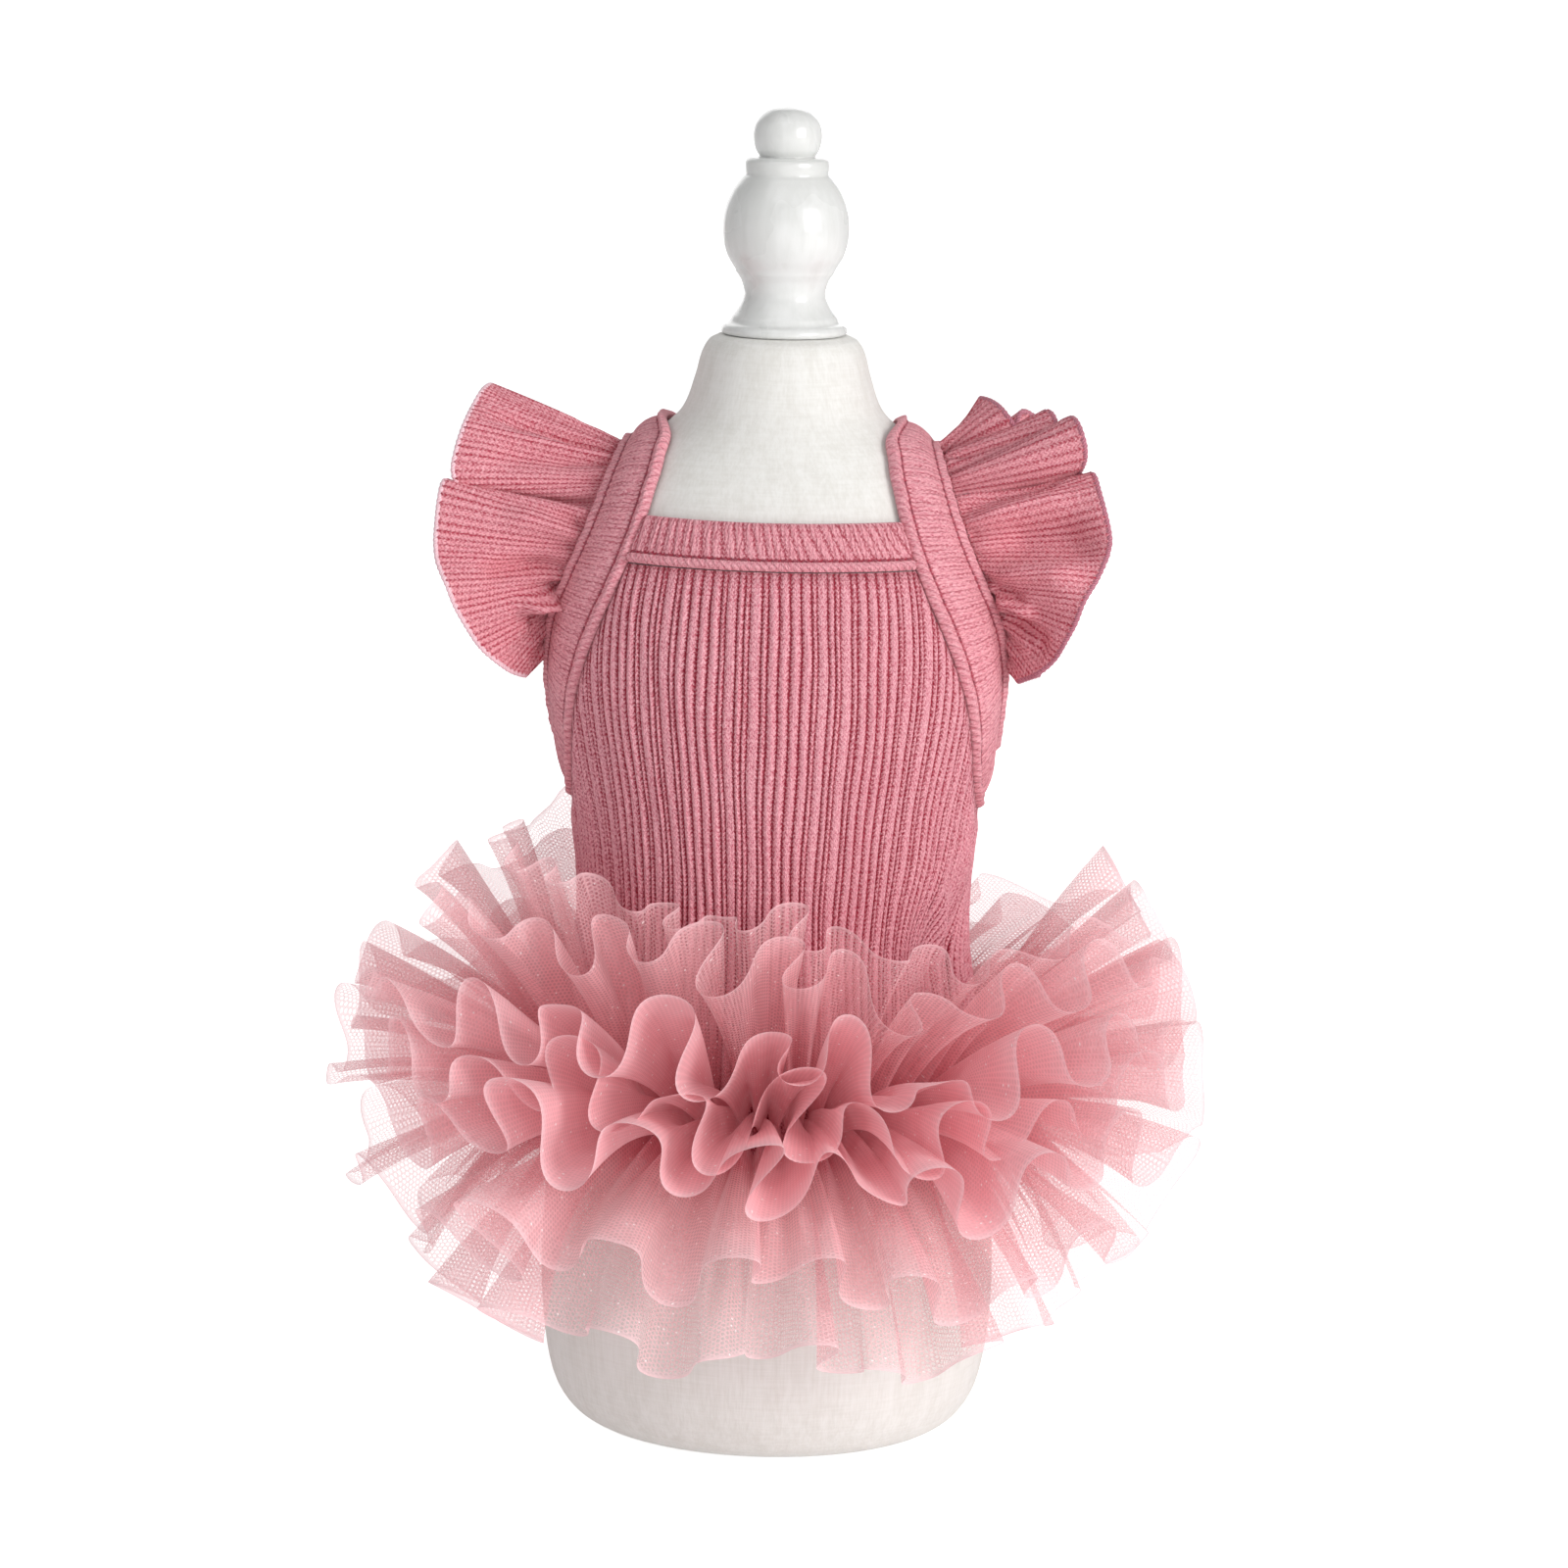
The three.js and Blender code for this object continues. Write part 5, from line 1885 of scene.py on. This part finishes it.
@dataclass
class Studio:
    """Pale floor, soft lights and the camera.

    Attributes:
        surround: Strength of the surround's light, and how much brighter the camera sees it.
        glow: The same for the floor.
        reach: Front edge, height and half width of the sweep.
    """

    turn: float = 3.3
    distance: float = 1.25
    height: float = 0.423
    aim: float = 0.18
    shift: float = 0.0023
    roll: float = 1.1
    width: float = 0.425
    sensor: float = 36.0
    lamp_aim: float = 0.17
    surround: tuple = (0.3, 0.7)
    glow: tuple = (0.12, 0.6)
    curve: tuple = (900.0, 1600.0)
    reach: tuple = (-2600.0, 3200.0, 3600.0)
    # Name, place in metres, side in metres, power in watts and colour of each lamp.
    lamps: tuple = (
        ("key", (1.3, -1.0, 0.7), 0.8, 18.0, (1.0, 0.99, 0.98)),
        ("fill", (-1.3, -0.9, 0.7), 1.3, 1.6, (0.98, 0.985, 1.0)),
        ("top", (-0.25, -0.6, 1.5), 1.0, 3.0, (1.0, 1.0, 1.0)),
        ("low", (0.1, -1.4, 0.12), 1.0, 3.2, (1.0, 1.0, 1.0)),
        ("rear", (-0.3, 1.4, 0.7), 1.3, 5.0, (1.0, 1.0, 1.0)),
    )

    def camera(self) -> None:
        """Place the camera: an aim from its turn and height, then a roll about the line of sight."""
        turn, roll = math.radians(self.turn), math.radians(self.roll)
        right = Vector((math.cos(turn), math.sin(turn), 0))
        place = Vector((math.sin(turn), -math.cos(turn), 0)) * self.distance
        place = place + Vector((0, 0, self.height)) + right * self.shift
        target = Vector((0, 0, self.aim)) + right * self.shift
        ahead = target - place
        reach = ahead.length
        ahead.normalize()
        side = ahead.cross(Vector((0, 0, 1))).normalized()
        up = side.cross(ahead)
        x = side * math.cos(roll) + up * math.sin(roll)
        y = up * math.cos(roll) - side * math.sin(roll)
        data = bpy.data.cameras.new("camera")
        data.sensor_width = self.sensor
        data.lens = self.sensor * reach / self.width
        data.clip_start = 0.01
        camera = bpy.data.objects.new("camera", data)
        camera.matrix_world = Matrix.Translation(place) @ Matrix((x, y, -ahead)).transposed().to_4x4()
        bpy.context.scene.collection.objects.link(camera)
        bpy.context.scene.camera = camera

    def floor(self) -> None:
        """Lay a pale sweep: a flat floor that curves up behind into a wall, in strips along one profile."""
        radius, back = self.curve
        front, high, half = self.reach
        turn = np.linspace(0, np.pi / 2, 25)
        bend = np.column_stack([back + radius * np.sin(turn), radius - radius * np.cos(turn)])
        profile = np.concatenate([[[front, 0.0]], bend, [[back + radius, high]]])
        x, y, z = np.broadcast_arrays(np.array([half, -half]), profile[:, :1], profile[:, 1:])
        points = np.stack([x, y, z], -1).reshape(-1, 3)
        sweep = put_mesh("floor", points, grid_quads(len(profile), 2, False)[:, ::-1])
        material, s, principled = new_material("sweep_paper")
        grain = s.between(s.noise(s.node("TexCoord").outputs["Object"], 14.0, 3.0), 0.35, 0.65)
        seen = s.node("LightPath").outputs["Is Camera Ray"]
        s.finish(
            principled,
            Base_Color=s.blend(grain, rgb(250, 250, 250), rgb(252, 252, 252)),
            Roughness=0.95,
            Specular_IOR_Level=0.1,
            Emission_Color=(1, 1, 1, 1),
            Emission_Strength=s.maths("MULTIPLY_ADD", seen, self.glow[1], self.glow[0]),
        )
        sweep.data.materials.append(material)

    def light(self) -> None:
        """Set up the square soft lamps, all aimed at the middle of the dress, and the white surround."""
        for name, place, size, power, colour in self.lamps:
            data = bpy.data.lights.new(name, "AREA")
            data.shape = "SQUARE"
            data.size = size
            data.energy = power
            data.color = colour
            lamp = bpy.data.objects.new(name, data)
            lamp.location = place
            aim = Vector((0, 0, self.lamp_aim)) - Vector(place)
            lamp.rotation_euler = aim.to_track_quat("-Z", "Y").to_euler()
            bpy.context.scene.collection.objects.link(lamp)
        world = bpy.data.worlds.new("surround")
        world.use_nodes = True
        background = next(n for n in world.node_tree.nodes if n.type == "BACKGROUND")
        background.inputs["Color"].default_value = (1, 1, 1, 1)
        s = Shader(world.node_tree)
        seen = s.node("LightPath").outputs["Is Camera Ray"]
        strength = s.maths("MULTIPLY_ADD", seen, self.surround[1], self.surround[0])
        s.feed(background.inputs["Strength"], strength)
        bpy.context.scene.world = world
        bpy.context.scene.view_settings.view_transform = "Standard"

    def build(self) -> None:
        """Set up the whole stage."""
        self.camera()
        self.floor()
        self.light()


# ---------------------------------------------------------------- assembly


@dataclass
class DogDress:
    """The dress on its form."""

    effects: Effects
    shape: FormShape = field(default_factory=FormShape)
    seams: Seams = field(default_factory=Seams)

    def finishes(self) -> dict[str, bpy.types.Material]:
        """Make every material of the object."""
        # Light yarn, deep yarn, and the painted shade of the grooves.
        ribs = (rgb(253, 192, 202), rgb(208, 106, 124), rgb(158, 40, 60))
        binding = (rgb(252, 190, 199), rgb(222, 130, 145), rgb(168, 56, 74))
        sleeve = (rgb(253, 190, 199), rgb(228, 126, 141), rgb(178, 52, 72))
        # Net colours: sparse thread, full gathers, painted shade at the seam, and the cut edge.
        net = (rgb(243, 195, 199), rgb(243, 178, 185), rgb(208, 102, 114), rgb(252, 216, 221))
        kinds = {
            "rib_knit": KnitFinish("rose_rib_knit", *ribs),
            "binding_knit": KnitFinish("rose_binding_knit", *binding, lined=0.55),
            "sleeve_knit": KnitFinish("rose_sleeve_knit", *sleeve),
            "topstitch": ThreadFinish("rose_topstitch", rgb(176, 84, 100), rgb(110, 40, 56)),
            "pale_overlock": ThreadFinish("pale_overlock", rgb(255, 226, 233), rgb(238, 178, 192)),
            "mauve_overlock": ThreadFinish("mauve_overlock", rgb(214, 138, 154), rgb(150, 78, 100)),
            "tulle": TulleFinish("rose_tulle", *net),
            "linen": LinenFinish("form_linen_cover", rgb(236, 235, 232), rgb(224, 222, 217)),
            "lacquer": LacquerFinish("white_lacquer", rgb(231, 232, 231), rgb(222, 223, 221)),
        }
        return {key: kind.make(self.effects) for key, kind in kinds.items()}

    def build(self) -> None:
        """Build every piece and dress it: form, bodice and neck, armholes and sleeves, tutu."""
        cloth = self.finishes()
        form = DressForm(self.shape)
        dress(form.body(), cloth["linen"], "form_linen", "form_body")
        dress(form.knob(), cloth["lacquer"], "finial_lacquer", "form_finial")
        binding = ArmholeBinding(self.shape, self.seams)
        for face in Face:
            label = face.name.lower()
            panel = dress(Bodice(binding, face).build(), cloth["rib_knit"], "rib_knit", f"bodice_{label}")
            band = NeckBand(binding, face)
            strip = dress(band.build(), cloth["binding_knit"], "binding_knit", f"neck_band_{label}")
            dress(band.topstitch(), cloth["topstitch"], "binding_knit")
        for side, edging in ((Side.LEFT, "mauve_overlock"), (Side.RIGHT, "pale_overlock")):
            label = side.name.lower()
            strip = binding.build(side)
            dress(strip, cloth["binding_knit"], "binding_knit", f"armhole_binding_{label}")
            dress(binding.topstitch(side), cloth["topstitch"], "binding_knit")
            sleeve = FlutterSleeve(binding, side, SLEEVE_CUTS[side], SLEEVE_LOBES[side], SLEEVE_CREASES[side])
            ruffle, rim = sleeve.build()
            dress(ruffle, cloth["sleeve_knit"], "sleeve_knit", f"flutter_sleeve_{label}")
            dress(sleeve.overlock(), cloth[edging], "sleeve_knit")
        tutu = Tutu(self.shape, self.seams)
        for number in range(len(tutu.tiers) + 1):
            strip, length, depth = tutu.build(number)
            dress(strip, cloth["tulle"], "tulle", f"tulle_tier_{number}" if number else None)
            log.info("tulle strip %d is %.0f mm long and %.0f mm deep", number, length, depth)


def main() -> None:
    """Build the stage and the dress, and write how large the visual model is."""
    Studio().build()
    DogDress(Effects()).build()


if __name__ == "__main__":
    main()
